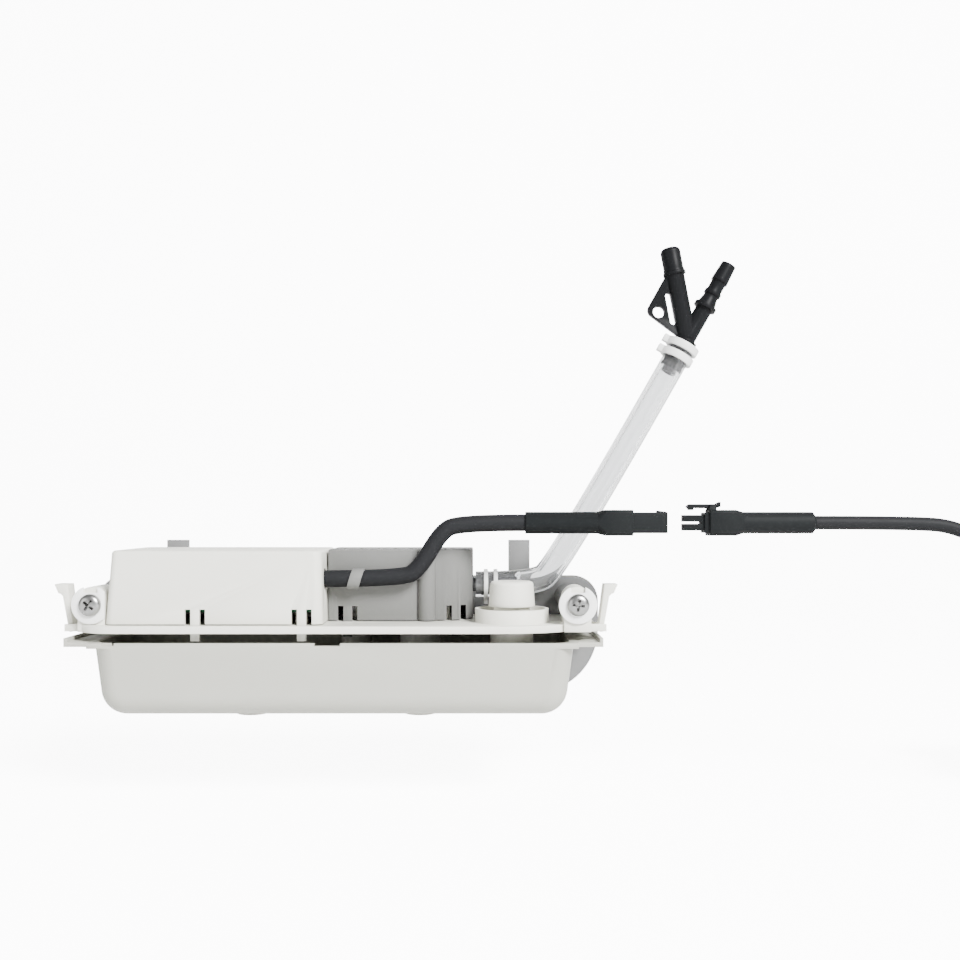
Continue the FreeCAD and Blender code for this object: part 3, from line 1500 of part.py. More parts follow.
def soft_square(made, half, corner, middle):
    """A square with round corners, round the given point of a sketch."""
    x, y = middle
    short = f"({half} - {corner})"
    return outline(made, [
        (f"{x} - {short}", f"{y} - {half}"),
        (f"{x} + {short}", f"{y} - {half}", corner, 1),
        (f"{x} + {half}", f"{y} - {short}"),
        (f"{x} + {half}", f"{y} + {short}", corner, 1),
        (f"{x} + {short}", f"{y} + {half}"),
        (f"{x} - {short}", f"{y} + {half}", corner, 1),
        (f"{x} - {half}", f"{y} + {short}"),
        (f"{x} - {half}", f"{y} - {short}", corner, 1),
    ])


AXIS = ("dim.socket_deep", "dim.socket_high")
# Half widths of the square parts, with their corner radii
BLOCK = ("dim.plug_half", "dim.block_corner")
NOSE = ("dim.nose_half", "dim.nose_corner")
PRONG_ROOT = "(dim.socket_mouth + dim.plug_travel + dim.plug_rest)"


def square_pad(owner, name, half, corner, start, end):
    """A round-cornered bar along x."""
    face = soft_square(sketch(owner, f"{name}_face", "YZ", start), half, corner, AXIS)
    pad(owner, name, face, f"({end}) - ({start})")


def flare(owner, name, start, start_half, start_corner, end, end_half, end_corner):
    """A bar along x that changes from one round-cornered square to another."""
    first = soft_square(sketch(owner, f"{name}_first", "YZ", start), start_half, start_corner, AXIS)
    last = soft_square(sketch(owner, f"{name}_last", "YZ", end), end_half, end_corner, AXIS)
    made = owner.newObject("PartDesign::AdditiveLoft", name)
    made.Profile = first
    made.Sections = [last]
    made.Ruled = True
    return made


def pole_places():
    """The four contacts' places about the connector's axis."""
    half = "dim.pole_pitch / 2"
    signs = [(across, up) for across in "-+" for up in "-+"]
    return [(f"{AXIS[0]} {across} {half}", f"{AXIS[1]} {up} {half}") for across, up in signs]


def socket():
    owner = body("socket_body_form")
    round_corner = "dim.round_share * dim.socket_sleeve"
    sleeve = "dim.socket_sleeve"
    square_pad(owner, "socket_sleeve", sleeve, round_corner, "dim.socket_start", "dim.socket_flare")
    flare(
        owner, "socket_flare", "dim.socket_flare", sleeve, round_corner,
        "dim.socket_body", *BLOCK,
    )
    square_pad(owner, "socket_block", *BLOCK, "dim.socket_body", "dim.socket_nose")
    square_pad(owner, "socket_nose", *NOSE, "dim.socket_nose", "dim.socket_mouth")
    ramp = outline(sketch(owner, "ramp_side", "XZ", f"-({AXIS[0]} - dim.latch_wide / 2)"), [
        ("dim.socket_mouth - dim.ramp_long", f"{AXIS[1]} + dim.nose_half - dim.ramp_sink"),
        ("dim.socket_mouth", f"{AXIS[1]} + dim.nose_half - dim.ramp_sink"),
        ("dim.socket_mouth", f"{AXIS[1]} + dim.nose_half + dim.ramp_tip"),
        ("dim.socket_mouth - dim.ramp_long", f"{AXIS[1]} + dim.nose_half + dim.ramp_high"),
    ])
    pad(owner, "ramp", ramp, "dim.latch_wide", backwards=True)
    room = soft_square(
        sketch(owner, "socket_room_face", "YZ", "dim.socket_mouth"),
        "dim.socket_hollow", "dim.prong_corner", AXIS,
    )
    pocket(owner, "socket_room", room, "dim.socket_mouth - dim.socket_hollow_from")
    keep(owner, "socket_housing")
    pins = [
        box(
            f"pin_{count}", ("dim.pin_long", "2 * dim.pin_half", "2 * dim.pin_half"),
            ("dim.socket_hollow_from", f"{across} - dim.pin_half", f"{up} - dim.pin_half"),
        )
        for count, (across, up) in enumerate(pole_places())
    ]
    keep(fuse("pins", *pins), "socket_pins")


# Plug of the supply lead


def plug():
    owner = body("plug_body_form")
    square_pad(owner, "plug_prong", "dim.prong_half", "dim.prong_corner", "dim.prong_tip", PRONG_ROOT)
    square_pad(owner, "plug_collar", "dim.plug_collar_half", "dim.nose_corner", PRONG_ROOT, "dim.plug_body")
    square_pad(owner, "plug_block", *BLOCK, "dim.plug_body", "dim.plug_body_end")
    round_corner = "dim.round_share * dim.plug_sleeve_round"
    flare(
        owner, "plug_flare", "dim.plug_body_end", *BLOCK,
        "dim.plug_sleeve", "dim.plug_sleeve_round", round_corner,
    )
    square_pad(
        owner, "plug_sleeve_bar", "dim.plug_sleeve_round", round_corner,
        "dim.plug_sleeve", "dim.plug_sleeve_end",
    )
    neck = "(dim.supply_round + dim.plug_neck_lip)"
    flare(
        owner, "plug_neck", "dim.plug_sleeve_end", "dim.plug_sleeve_round", round_corner,
        "dim.plug_sleeve_end + dim.plug_neck_long", neck, f"dim.round_share * {neck}",
    )
    # The slot between the upper and lower pair of poles, and the four contact holes
    split = rectangle(
        sketch(owner, "prong_split_side", "XZ"),
        "dim.prong_tip - dim.cut_over", f"{AXIS[1]} - dim.prong_split / 2",
        f"{PRONG_ROOT} - dim.prong_web", f"{AXIS[1]} + dim.prong_split / 2",
    )
    pocket(owner, "prong_split", split, "dim.unit_deep")
    holes = sketch(owner, "plug_hole_face", "YZ", "dim.prong_tip")
    room = "(dim.pin_half + dim.pin_gap)"
    for across, up in pole_places():
        rectangle(holes, f"{across} - {room}", f"{up} - {room}", f"{across} + {room}", f"{up} + {room}")
    pocket(owner, "plug_holes", holes, "dim.pin_long + dim.pin_end_gap", backwards=True)
    # Two cheeks that carry the latch's pin
    cheek = "(dim.latch_wide / 2 + dim.slide_gap)"
    foot = f"{AXIS[1]} + dim.plug_half - dim.cheek_sink"
    cheeks = (("front", f"{AXIS[0]} - {cheek} - dim.cheek_thick"), ("rear", f"{AXIS[0]} + {cheek}"))
    for name, near in cheeks:
        side = outline(sketch(owner, f"cheek_{name}_side", "XZ", f"-({near})"), [
            ("dim.latch_pivot - dim.cheek_foot", foot),
            ("dim.latch_pivot + dim.cheek_foot", foot),
            ("dim.latch_pivot + dim.cheek_top", "dim.latch_high - dim.latch_back"),
            ("dim.latch_pivot - dim.cheek_top", "dim.latch_high - dim.latch_back"),
        ])
        pad(owner, f"cheek_{name}", side, "dim.cheek_thick", backwards=True)
    pin = circle(
        sketch(owner, "latch_pin_side", "XZ", f"-({AXIS[0]} - {cheek} - dim.cheek_thick)"), "dim.latch_pin",
        ("dim.latch_pivot", "(dim.latch_low + dim.latch_high) / 2"),
    )
    pad(owner, "latch_pin", pin, f"2 * ({cheek} + dim.cheek_thick)", backwards=True)
    keep(owner, "plug_housing")
    latch()


def latch():
    """The rocking latch: a barb at its tip and a thumb rest at its end."""
    owner = body("latch_body")
    near = f"-({AXIS[0]} - dim.latch_wide / 2)"
    middle = "(dim.latch_low + dim.latch_high) / 2"
    side = outline(sketch(owner, "latch_side", "XZ", near), [
        ("dim.latch_tip", f"{middle} - dim.latch_nose"),
        ("dim.latch_tip + dim.latch_barb_top", "dim.latch_low - dim.latch_barb"),
        ("dim.latch_tip + dim.latch_barb_end", "dim.latch_low - dim.latch_barb"),
        ("dim.latch_tip + dim.latch_barb_end", "dim.latch_low + dim.latch_skin"),
        ("dim.latch_pivot - dim.latch_hub", "dim.latch_low + dim.latch_skin"),
        ("dim.latch_pivot", "dim.latch_low - dim.latch_skin"),
        ("dim.latch_pivot + dim.latch_hub", "dim.latch_low + dim.latch_skin"),
        ("dim.latch_end", "dim.latch_low + dim.latch_thumb_low"),
        ("dim.latch_end", "dim.latch_high + dim.latch_thumb_high"),
        ("dim.latch_pivot + dim.latch_thumb", "dim.latch_high - dim.latch_back"),
        ("dim.latch_tip + dim.latch_barb_top", "dim.latch_high - dim.latch_back"),
    ])
    pad(owner, "latch_form", side, "dim.latch_wide", backwards=True)
    bore = circle(
        sketch(owner, "latch_bore_side", "XZ", near),
        "dim.latch_pin + dim.slide_gap", ("dim.latch_pivot", middle),
    )
    pocket(owner, "latch_bore", bore, "dim.latch_wide + dim.cut_over")
    keep(owner, "plug_latch")


# Coil of the supply lead, lying beside the pump, and its bare end


def coil():
    owner = body("coil_form_body")
    pitch = "(2 * dim.supply_round)"
    inner = "(dim.coil_inner - dim.supply_round - dim.coil_slack)"
    outer = f"(dim.coil_inner + dim.coil_turns_wide * {pitch} + dim.supply_round + dim.coil_slack)"
    high = f"(dim.coil_layers * {pitch} + dim.coil_slack)"
    low = "-dim.foot_high"
    edge = "dim.coil_edge"
    section = outline(sketch(owner, "coil_section", "XZ"), [
        (f"{inner} + {edge}", low),
        (f"{outer} - {edge}", low),
        (outer, f"{low} + {edge}"),
        (outer, f"{low} + {high} - {edge}"),
        (f"{outer} - {edge}", f"{low} + {high}"),
        (f"{inner} + {edge}", f"{low} + {high}"),
        (inner, f"{low} + {high} - {edge}"),
        (inner, f"{low} + {edge}"),
    ])
    spin(owner, "coil_ring", section)
    bind(owner, {"Placement.Base.x": "dim.coil_side", "Placement.Base.y": "dim.coil_deep"})
    keep(owner, "supply_coil")
    # A tie round the ring's section, on the side away from the pump
    gap = "dim.seat_gap"
    near = f"dim.coil_side + {inner} - {gap}"
    wide = f"{outer} - {inner} + 2 * {gap}"
    band = cut(
        "tie",
        box(
            "tie_form",
            (f"{wide} + 2 * dim.tie_thick", "dim.tie_wide", f"{high} + {gap} + dim.tie_thick"),
            (f"{near} - dim.tie_thick", "dim.coil_deep - dim.tie_wide / 2", "-dim.foot_high"),
        ),
        box(
            "tie_room", (wide, "dim.tie_wide", f"{high} + {gap}"),
            (near, "dim.coil_deep - dim.tie_wide / 2", "-dim.foot_high"),
        ),
    )
    keep(band, "coil_tie")
    # The end of the lead: its jacket, then four cores with their ferrules
    deep = f"dim.coil_deep + dim.coil_inner + dim.tail_turns * {pitch}"
    level = "dim.supply_round - dim.foot_high"
    start = "dim.coil_side - dim.tail_from - dim.tail_long"
    tail = rod("tail_form", "dim.supply_round", "dim.tail_long", (start, deep, level), "x")
    keep(tail, "supply_tail")
    cores = []
    for number_of, (across, up) in enumerate([(x, y) for x in "-+" for y in "-+"]):
        place_deep = f"{deep} {across} dim.core_pitch / 2"
        place_high = f"{level} {up} dim.core_pitch / 2"
        wire = rod(
            f"core_{number_of}", "dim.core_round", "dim.core_long",
            (f"{start} - dim.core_long", place_deep, place_high), "x",
        )
        ferrule = rod(
            f"ferrule_{number_of}", "dim.core_round / 2", "dim.ferrule_long",
            (f"{start} - dim.core_long - dim.ferrule_long", place_deep, place_high), "x",
        )
        cores.append(fuse(f"core_end_{number_of}", wire, ferrule))
    keep(fuse("core_ends_group", *cores), "core_ends")


# Clamps on the hose


def clamp(name, thick, wide, at, turn):
    """A ring round the hose with its two finger tabs as one ear."""
    inner = "(dim.hose_outer + dim.slide_gap)"
    ring = pipe(f"{name}_ring", f"{inner} + {thick}", inner, wide, ("0", "0", "0"))
    ear = box(
        f"{name}_ear", ("dim.clamp_ear", wide, wide),
        (f"dim.clamp_sink - {inner} - {thick} - dim.clamp_ear", f"-{wide} / 2", "0"),
    )
    made = fuse(name, ring, ear)
    made.Placement.Rotation = turn
    bind(made, {f"Placement.Base.{axis}": text for axis, text in zip("xyz", at)})
    return made


def clamps():
    level = FreeCAD.Rotation(V(0, 1, 0), -90)
    lower = [
        clamp(
            f"clamp_{mark}", "dim.clamp_thick", "dim.clamp_wide",
            (f"dim.clamp_{mark} + dim.clamp_wide / 2", "dim.pump_deep", "dim.pump_high"), level,
        )
        for mark in "ab"
    ]
    keep(fuse("clamps_lower", *lower), "hose_clamps_lower")
    slope = FreeCAD.Rotation(V(0, 1, 0), 90 - dim.hose_slope)
    wide = "dim.clamp_upper_wide"
    upper = [
        clamp(
            f"clamp_{mark}", "dim.clamp_upper_thick", wide,
            (
                f"dim.hose_corner + cos(dim.hose_slope * 1deg) * (dim.clamp_{mark} - {wide} / 2)",
                "dim.pump_deep",
                f"dim.pump_high + sin(dim.hose_slope * 1deg) * (dim.clamp_{mark} - {wide} / 2)",
            ),
            slope,
        )
        for mark in "cd"
    ]
    keep(fuse("clamps_upper", *upper), "hose_clamps_upper")


# Branched vent connector at the hose's end, built upright on its own axis and then leant over


def on_hose(made):
    """Leans a piece built round the z axis over onto the hose's upper axis."""
    made.Placement.Rotation = FreeCAD.Rotation(V(0, 1, 0), 90 - dim.hose_slope)
    bind(made, {
        "Placement.Base.x": "dim.hose_corner",
        "Placement.Base.y": "dim.pump_deep",
        "Placement.Base.z": "dim.pump_high",
    })
    return made


def branch(name, kind, radii, start, end):
    """A rod or cone on the vent branch, measured from the fork."""
    length = f"({end}) - ({start})"
    if kind == "rod":
        made = rod(name, radii, length, ("0", "0", "0"))
    else:
        made = cone(name, *radii, length, ("0", "0", "0"))
    made.Placement.Rotation = FreeCAD.Rotation(V(0, 1, 0), -dim.vent_slope)
    bind(made, {
        "Placement.Base.x": f"-sin(dim.vent_slope * 1deg) * ({start})",
        "Placement.Base.z": f"dim.vee_fork + cos(dim.vent_slope * 1deg) * ({start})",
    })
    return made


def vee():
    def up(name, radius, start, end):
        return rod(name, radius, f"({end}) - ({start})", ("0", "0", start))

    def band(name):
        level = f"dim.{name}"
        return up(name, f"dim.{name}_round", f"{level} - {stop} / 2", f"{level} + {stop} / 2")

    tooth = "((dim.hose_end - dim.vee_start) / 4)"
    stop = "dim.vee_stop"
    pieces = [
        up("vee_stem", "dim.vee_stem", "dim.vee_start", "dim.vee_cone"),
        up("vee_arm", "dim.vee_arm", f"dim.hose_end + {stop}", "dim.vee_collar"),
        up("vee_stop", "dim.vee_collar_round", "dim.hose_end + dim.slide_gap", f"dim.hose_end + {stop}"),
        band("vee_collar"),
        cone(
            "vee_bulge", "dim.vee_bulge", "dim.vee_stem", "dim.vee_bulge_long",
            ("0", "0", f"dim.vee_collar + {stop} / 2"),
        ),
        band("vee_ring"),
        cone(
            "vee_tip", "dim.vee_ring_round", "dim.vee_tip_round", "dim.vee_tip - dim.vee_cone",
            ("0", "0", "dim.vee_cone"),
        ),
        branch("vent_pipe", "rod", "dim.vent_root", "0", "dim.vent_shoulder"),
        branch(
            "vent_flange", "rod", "dim.vent_flange", "dim.vent_shoulder",
            "dim.vent_shoulder + dim.vent_flange_thick",
        ),
        branch(
            "vent_spigot", "rod", "dim.vent_spigot", "dim.vent_shoulder + dim.vent_flange_thick",
            "dim.vent_shoulder + dim.vent_flange_thick + dim.vent_spigot_long",
        ),
    ]
    for count in range(3):
        start = f"dim.vee_start + {count} * {tooth}"
        pieces.append(cone(
            f"vee_tooth_{count}", "dim.vee_root", "dim.hose_bore - dim.slide_gap / 2",
            tooth, ("0", "0", start),
        ))
    owner = body("tab_body")
    tab = outline(sketch(owner, "tab_side", "XZ", "dim.tab_thick / 2"), [
        ("-dim.tab_tip_side", "dim.tab_tip"),
        ("-dim.tab_corner_side", "dim.tab_corner"),
        ("-dim.tab_foot_side", "dim.tab_foot"),
        ("0", "dim.vee_fork"),
        (
            "-sin(dim.vent_slope * 1deg) * dim.vent_shoulder",
            "dim.vee_fork + cos(dim.vent_slope * 1deg) * dim.vent_shoulder",
        ),
    ])
    pad(owner, "tab_form", tab, "dim.tab_thick", backwards=True)
    corner = number("dim.tab_corner")
    reach = -number("dim.tab_corner_side")
    rounded(
        owner, "tab_corner", "dim.tab_round",
        lambda b: abs(b.ZMin - corner) < 0.1 and abs(b.ZMax - corner) < 0.1 and abs(b.XMin - reach) < 0.1,
    )
    hole = circle(
        sketch(owner, "tab_hole_side", "XZ", "dim.tab_thick / 2"),
        "dim.tab_hole", ("-dim.tab_hole_side", "dim.tab_hole_up"),
    )
    pocket(owner, "tab_hole", hole, "dim.tab_thick + dim.cut_over")
    whole = fuse("vee_whole", owner, *pieces)
    slot = slot_tool()
    bores = [
        up("vee_bore", "dim.vee_bore", "dim.vee_start", "dim.vee_tip"),
        branch(
            "vent_bore", "rod", "dim.vent_bore", "0",
            "dim.vent_shoulder + dim.vent_flange_thick + dim.vent_spigot_long",
        ),
    ]
    keep(on_hose(cut("vee", whole, slot, *bores)), "y_connector")
    cap_low = "(dim.vent_shoulder + dim.vent_flange_thick)"
    cap_top = f"({cap_low} + dim.vent_cap_long)"
    bevel = "dim.vent_cap_chamfer"
    wide = "dim.vent_cap_round"
    shell = branch("cap_shell", "rod", wide, cap_low, f"{cap_top} - {bevel}")
    crown = branch("cap_crown", "cone", (wide, f"{wide} - {bevel}"), f"{cap_top} - {bevel}", cap_top)
    room = branch(
        "cap_room", "rod", "dim.vent_spigot + dim.slide_gap / 2", cap_low,
        f"{cap_low} + dim.vent_spigot_long + dim.vent_cap_room",
    )
    keep(on_hose(cut("vent_cap_cut", fuse("vent_cap_whole", shell, crown), room)), "vent_cap")


def slot_tool():
    """The slot beside the tab's hole, along the vent branch."""
    half = "dim.tab_slot"
    long = f"(dim.tab_slot_long - 2 * {half})"
    middle = box(
        "slot_middle", (f"2 * {half}", "2 * dim.tab_thick", long),
        (f"-{half}", "-dim.tab_thick", f"-{long} / 2"),
    )
    ends = [
        rod(f"slot_end_{way}", half, "2 * dim.tab_thick", ("0", "-dim.tab_thick", f"{sign}{long} / 2"), "y")
        for way, sign in (("low", "-"), ("high", ""))
    ]
    made = fuse("slot_tool", middle, *ends)
    made.Placement.Rotation = FreeCAD.Rotation(V(0, 1, 0), -dim.vent_slope)
    bind(made, {"Placement.Base.x": "-dim.tab_slot_side", "Placement.Base.z": "dim.tab_slot_up"})
    return made


# Small pieces where the lead and the outlet leave their covers


def exits():
    near = "(dim.box_right - dim.box_lean_in - dim.cover_wall)"
    bore = "dim.lead_round + dim.slide_gap"
    at = ("dim.lead_deep", "dim.lead_high")
    long = f"dim.box_right - dim.gland_inset - {near}"
    neck = rod("gland_neck", "dim.gland_neck - dim.slide_gap", long, (near, *at), "x")
    back = f"{near} - dim.gland_thick"
    flange = rod("gland_flange", "dim.gland_flange", "dim.gland_thick", (back, *at), "x")
    hole = rod("gland_bore", bore, f"{long} + dim.gland_thick", (back, *at), "x")
    keep(cut("gland", fuse("gland_whole", neck, flange), hole), "lead_gland")
    strap()


def strap():
    """A leaning band round the lead, on a short foot that stands on the pump cover."""
    bore = "(dim.lead_round + dim.slide_gap)"
    reach = "(4 * dim.lead_round)"
    along_x = "cos(dim.strap_slope * 1deg)"
    along_z = "sin(dim.strap_slope * 1deg)"
    loop = pipe(
        "strap_loop", f"{bore} + dim.strap_thick", bore, reach,
        (f"dim.strap_side - {reach} / 2", "dim.lead_deep", "dim.lead_high"), "x",
    )
    slab = box("strap_slab", ("dim.strap_wide", reach, reach), ("0", f"dim.lead_deep - {reach} / 2", "0"))
    slab.Placement.Rotation = FreeCAD.Rotation(V(0, 1, 0), dim.strap_slope)
    bind(slab, {
        "Placement.Base.x": f"dim.strap_side - ({along_x} * dim.strap_wide + {along_z} * {reach}) / 2",
        "Placement.Base.z": f"dim.lead_high + ({along_z} * dim.strap_wide - {along_x} * {reach}) / 2",
    })
    band = doc.addObject("Part::Common", "strap_band")
    band.Base = loop
    band.Tool = slab
    near = f"(dim.lead_deep + {bore} + dim.strap_thick / 2)"
    foot = box(
        "strap_foot", ("dim.strap_foot", f"dim.case_front - dim.slide_gap - {near}", "dim.strap_foot"),
        ("dim.strap_side - dim.strap_foot / 2", near, "dim.lead_high - dim.strap_foot / 2"),
    )
    keep(fuse("strap", band, foot), "lead_strap")


# The whole unit

tank()
base_plate()
wall_plate()
electronics_cover()
pump_cover()
bushes()
screws()
levers()
inlet_cap()
water_way()
pump()
electronics()
leads()
socket()
plug()
coil()
clamps()
vee()
exits()
doc.recompute()

for thing in doc.Objects:
    if set(thing.State) & {"Invalid", "Error"}:
        raise ValueError(f"{thing.Name} failed")
for part in parts:
    if part.Shape.isNull() or not part.Shape.isValid():
        raise ValueError(f"{part.Label} has no valid shape")

os.makedirs("parts", exist_ok=True)
for part in parts:
    part.Shape.exportStep(f"parts/{part.Label}.step")
    box_of = part.Shape.BoundBox
    print(
        f"{part.Label}: {len(part.Shape.Solids)} solid, {part.Shape.Volume:.0f} mm3,"
        f" x {box_of.XMin:.1f} {box_of.XMax:.1f}, y {box_of.YMin:.1f} {box_of.YMax:.1f},"
        f" z {box_of.ZMin:.1f} {box_of.ZMax:.1f}"
    )
print(f"{len(parts)} sub-parts")
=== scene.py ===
import json
import math

import bmesh
import bpy
from mathutils import Matrix, Vector


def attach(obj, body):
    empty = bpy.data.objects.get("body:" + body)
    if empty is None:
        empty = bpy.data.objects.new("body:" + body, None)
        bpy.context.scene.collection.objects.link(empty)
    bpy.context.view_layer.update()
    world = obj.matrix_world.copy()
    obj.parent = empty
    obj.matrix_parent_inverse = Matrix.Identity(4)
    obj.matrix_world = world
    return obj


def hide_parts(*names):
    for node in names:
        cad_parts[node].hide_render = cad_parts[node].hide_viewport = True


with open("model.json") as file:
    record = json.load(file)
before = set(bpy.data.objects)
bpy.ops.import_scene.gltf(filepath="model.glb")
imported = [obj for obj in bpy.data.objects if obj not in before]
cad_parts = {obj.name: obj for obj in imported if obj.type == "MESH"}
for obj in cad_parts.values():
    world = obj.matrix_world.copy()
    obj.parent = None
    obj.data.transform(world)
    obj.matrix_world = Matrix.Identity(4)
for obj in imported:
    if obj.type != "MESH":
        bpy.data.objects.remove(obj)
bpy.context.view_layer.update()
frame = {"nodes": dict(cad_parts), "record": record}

# Driving sizes, in metres, in the row's frame
MM = 0.001
LEAD_ROUND = 3.25 * MM
SUPPLY_ROUND = 2.65 * MM
HOSE_ROUND = 5.2 * MM
HOSE_BORE = 3.25 * MM
HOSE_GRIPS = (16.3 * MM, 13.4 * MM)
GRIP = 1.35 * MM
COVER_FOOT = 34.1 * MM
RIM_GAP = 0.4 * MM
TANK_DROP = 32 * MM

# The camera stands square to the tank's front, 400 mm away, in a white studio
VIEW_SIDE = 50.6 * MM
VIEW_HIGH = 75.5 * MM
VIEW_FROM = 427.75 * MM
VIEW_LENS = 40.5
VIEW_SHIFT = (0.0115, 0.0365)
FILM_WIDE = 36
SKY = 0.42
FLOOR_GLOW = 9
WHITE = (1, 1, 1, 1)

# Routes of the cords, the same points as the solids have
LEAD_ROUTE = [
    (-0.0090, -0.01235, 0.05100),
    (0.0248, -0.01235, 0.05100),
    (0.0316, -0.01235, 0.05490),
    (0.0396, -0.01225, 0.06870),
    (0.0464, -0.01215, 0.07254),
    (0.0723, -0.01215, 0.07254),
]
HOSE_ROUTE = [
    (0.05330, 0.00825, 0.04760),
    (0.07556, 0.00825, 0.04760),
    (0.08601, 0.00825, 0.05369),
    (0.13746, 0.00825, 0.14465),
]
SUPPLY_ROUTE = [
    (0.1835, -0.01215, 0.07254),
    (0.2220, -0.01215, 0.07254),
    (0.2380, -0.01275, 0.07100),
    (0.2515, -0.01495, 0.06260),
    (0.2590, -0.01745, 0.04810),
    (0.2640, -0.02025, 0.03260),
    (0.2715, -0.02445, 0.01910),
    (0.2830, -0.03145, 0.01060),
    (0.2970, -0.03675, 0.00810),
    (0.3080, -0.03830, 0.00795),
]

# The supply lead's coil: an upper layer wound inwards and a lower one outwards
COIL_MIDDLE = (0.3130, 0.00025)
COIL_INNER = 20 * MM
COIL_PITCH = 2 * SUPPLY_ROUND
COIL_POINTS = 16
UPPER_TURNS = 3.5
LOWER_TURNS = 3
TAIL_END = 0.2850


# Camera, floor and light


def camera():
    """The photo's own view: level, with a little shift and no depth of field."""
    data = bpy.data.cameras.new("view")
    data.lens = VIEW_LENS
    data.sensor_width = FILM_WIDE
    data.shift_x, data.shift_y = VIEW_SHIFT
    data.clip_start = 0.01
    made = bpy.data.objects.new("view", data)
    made.location = (VIEW_SIDE, -VIEW_FROM, VIEW_HIGH)
    made.rotation_euler = (math.pi / 2, 0, 0)
    bpy.context.collection.objects.link(made)
    bpy.context.scene.camera = made


def backdrop():
    """A pale floor that curves up into a wall behind the pump. It lies below the dropped tank."""
    reach = 6
    back = 1.4
    bend = 0.5
    high = 3
    steps = 24
    low = -TANK_DROP - 2 * MM
    line = [(-reach, low), (back - bend, low)]
    for step in range(1, steps + 1):
        turn = step / steps * math.pi / 2
        line.append((back - bend + bend * math.sin(turn), low + bend - bend * math.cos(turn)))
    line.append((back, high))
    shape = bmesh.new()
    rows = [[shape.verts.new((side, y, z)) for y, z in line] for side in (-reach, reach)]
    for low in range(len(line) - 1):
        face = shape.faces.new((rows[0][low], rows[1][low], rows[1][low + 1], rows[0][low + 1]))
        face.smooth = True
    mesh = bpy.data.meshes.new("studio_floor")
    shape.to_mesh(mesh)
    shape.free()
    made = bpy.data.objects.new("studio_floor", mesh)
    bpy.context.collection.objects.link(made)
    made.data.materials.append(floor_finish())


def floor_finish():
    """White card, lit so brightly that the view sees only a faint shadow on it."""
    material = bpy.data.materials.new("studio white")
    material.use_nodes = True
    tree = material.node_tree
    shader = tree.nodes["Principled BSDF"]
    shader.inputs["Roughness"].default_value = 0.9
    shader.inputs["Specular IOR Level"].default_value = 0.1
    glow = tree.nodes.new("ShaderNodeEmission")
    glow.inputs["Strength"].default_value = FLOOR_GLOW
    both = tree.nodes.new("ShaderNodeAddShader")
    seen = tree.nodes.new("ShaderNodeLightPath")
    pick = tree.nodes.new("ShaderNodeMixShader")
    leave = tree.nodes["Material Output"]
    tree.links.new(shader.outputs["BSDF"], both.inputs[0])
    tree.links.new(glow.outputs["Emission"], both.inputs[1])
    tree.links.new(seen.outputs["Is Camera Ray"], pick.inputs[0])
    tree.links.new(shader.outputs["BSDF"], pick.inputs[1])
    tree.links.new(both.outputs["Shader"], pick.inputs[2])
    tree.links.new(pick.outputs["Shader"], leave.inputs["Surface"])
    spot = tree.nodes.new("ShaderNodeTexCoord")
    cloud = tree.nodes.new("ShaderNodeTexNoise")
    cloud.inputs["Scale"].default_value = 3
    tone = tree.nodes.new("ShaderNodeMix")
    tone.data_type = "RGBA"
    tone.inputs[6].default_value = (0.93, 0.93, 0.93, 1)
    tone.inputs[7].default_value = (0.95, 0.95, 0.95, 1)
    tree.links.new(spot.outputs["Object"], cloud.inputs["Vector"])
    tree.links.new(cloud.outputs["Fac"], tone.inputs[0])
    tree.links.new(tone.outputs[2], shader.inputs["Base Color"])
    return material


def lights():
    """A large soft key from the right, a weak fill from the left and a white sky."""
    lamps = (
        ("key", (1.15, -1.6, 1.45), 0.8, 238),
        ("fill", (-1.5, -1.4, 0.5), 1.2, 18),
    )
    aim = Vector((0.05, 0, 0.05))
    for name, spot, size, power in lamps:
        data = bpy.data.lights.new(name, "AREA")
        data.size = size
        data.energy = power
        made = bpy.data.objects.new(name, data)
        made.location = spot
        made.rotation_euler = (aim - Vector(spot)).to_track_quat("-Z", "Y").to_euler()
        bpy.context.collection.objects.link(made)
    world = bpy.data.worlds.new("studio")
    world.use_nodes = True
    tree = world.node_tree
    sky = tree.nodes["Background"]
    sky.inputs["Color"].default_value = WHITE
    sky.inputs["Strength"].default_value = SKY
    bright = tree.nodes.new("ShaderNodeBackground")
    bright.inputs["Color"].default_value = WHITE
    bright.inputs["Strength"].default_value = FLOOR_GLOW
    seen = tree.nodes.new("ShaderNodeLightPath")
    pick = tree.nodes.new("ShaderNodeMixShader")
    tree.links.new(seen.outputs["Is Camera Ray"], pick.inputs[0])
    tree.links.new(sky.outputs["Background"], pick.inputs[1])
    tree.links.new(bright.outputs["Background"], pick.inputs[2])
    tree.links.new(pick.outputs["Shader"], tree.nodes["World Output"].inputs["Surface"])
    bpy.context.scene.world = world


# Effects that several finishes share


def shared(name, inputs, outputs):
    """An empty shader group with named sockets. Returns its tree, entry and exit."""
    tree = bpy.data.node_groups.new(name, "ShaderNodeTree")
    for word, kind, value in inputs:
        made = tree.interface.new_socket(word, in_out="INPUT", socket_type=f"NodeSocket{kind}")
        made.default_value = value
    for word, kind in outputs:
        tree.interface.new_socket(word, in_out="OUTPUT", socket_type=f"NodeSocket{kind}")
    return tree, tree.nodes.new("NodeGroupInput"), tree.nodes.new("NodeGroupOutput")


def noise(tree, scale, vector, detail=2.0):
    made = tree.nodes.new("ShaderNodeTexNoise")
    made.inputs["Detail"].default_value = detail
    tree.links.new(vector, made.inputs["Vector"])
    if isinstance(scale, (int, float)):
        made.inputs["Scale"].default_value = scale
    else:
        tree.links.new(scale, made.inputs["Scale"])
    return made.outputs["Fac"]


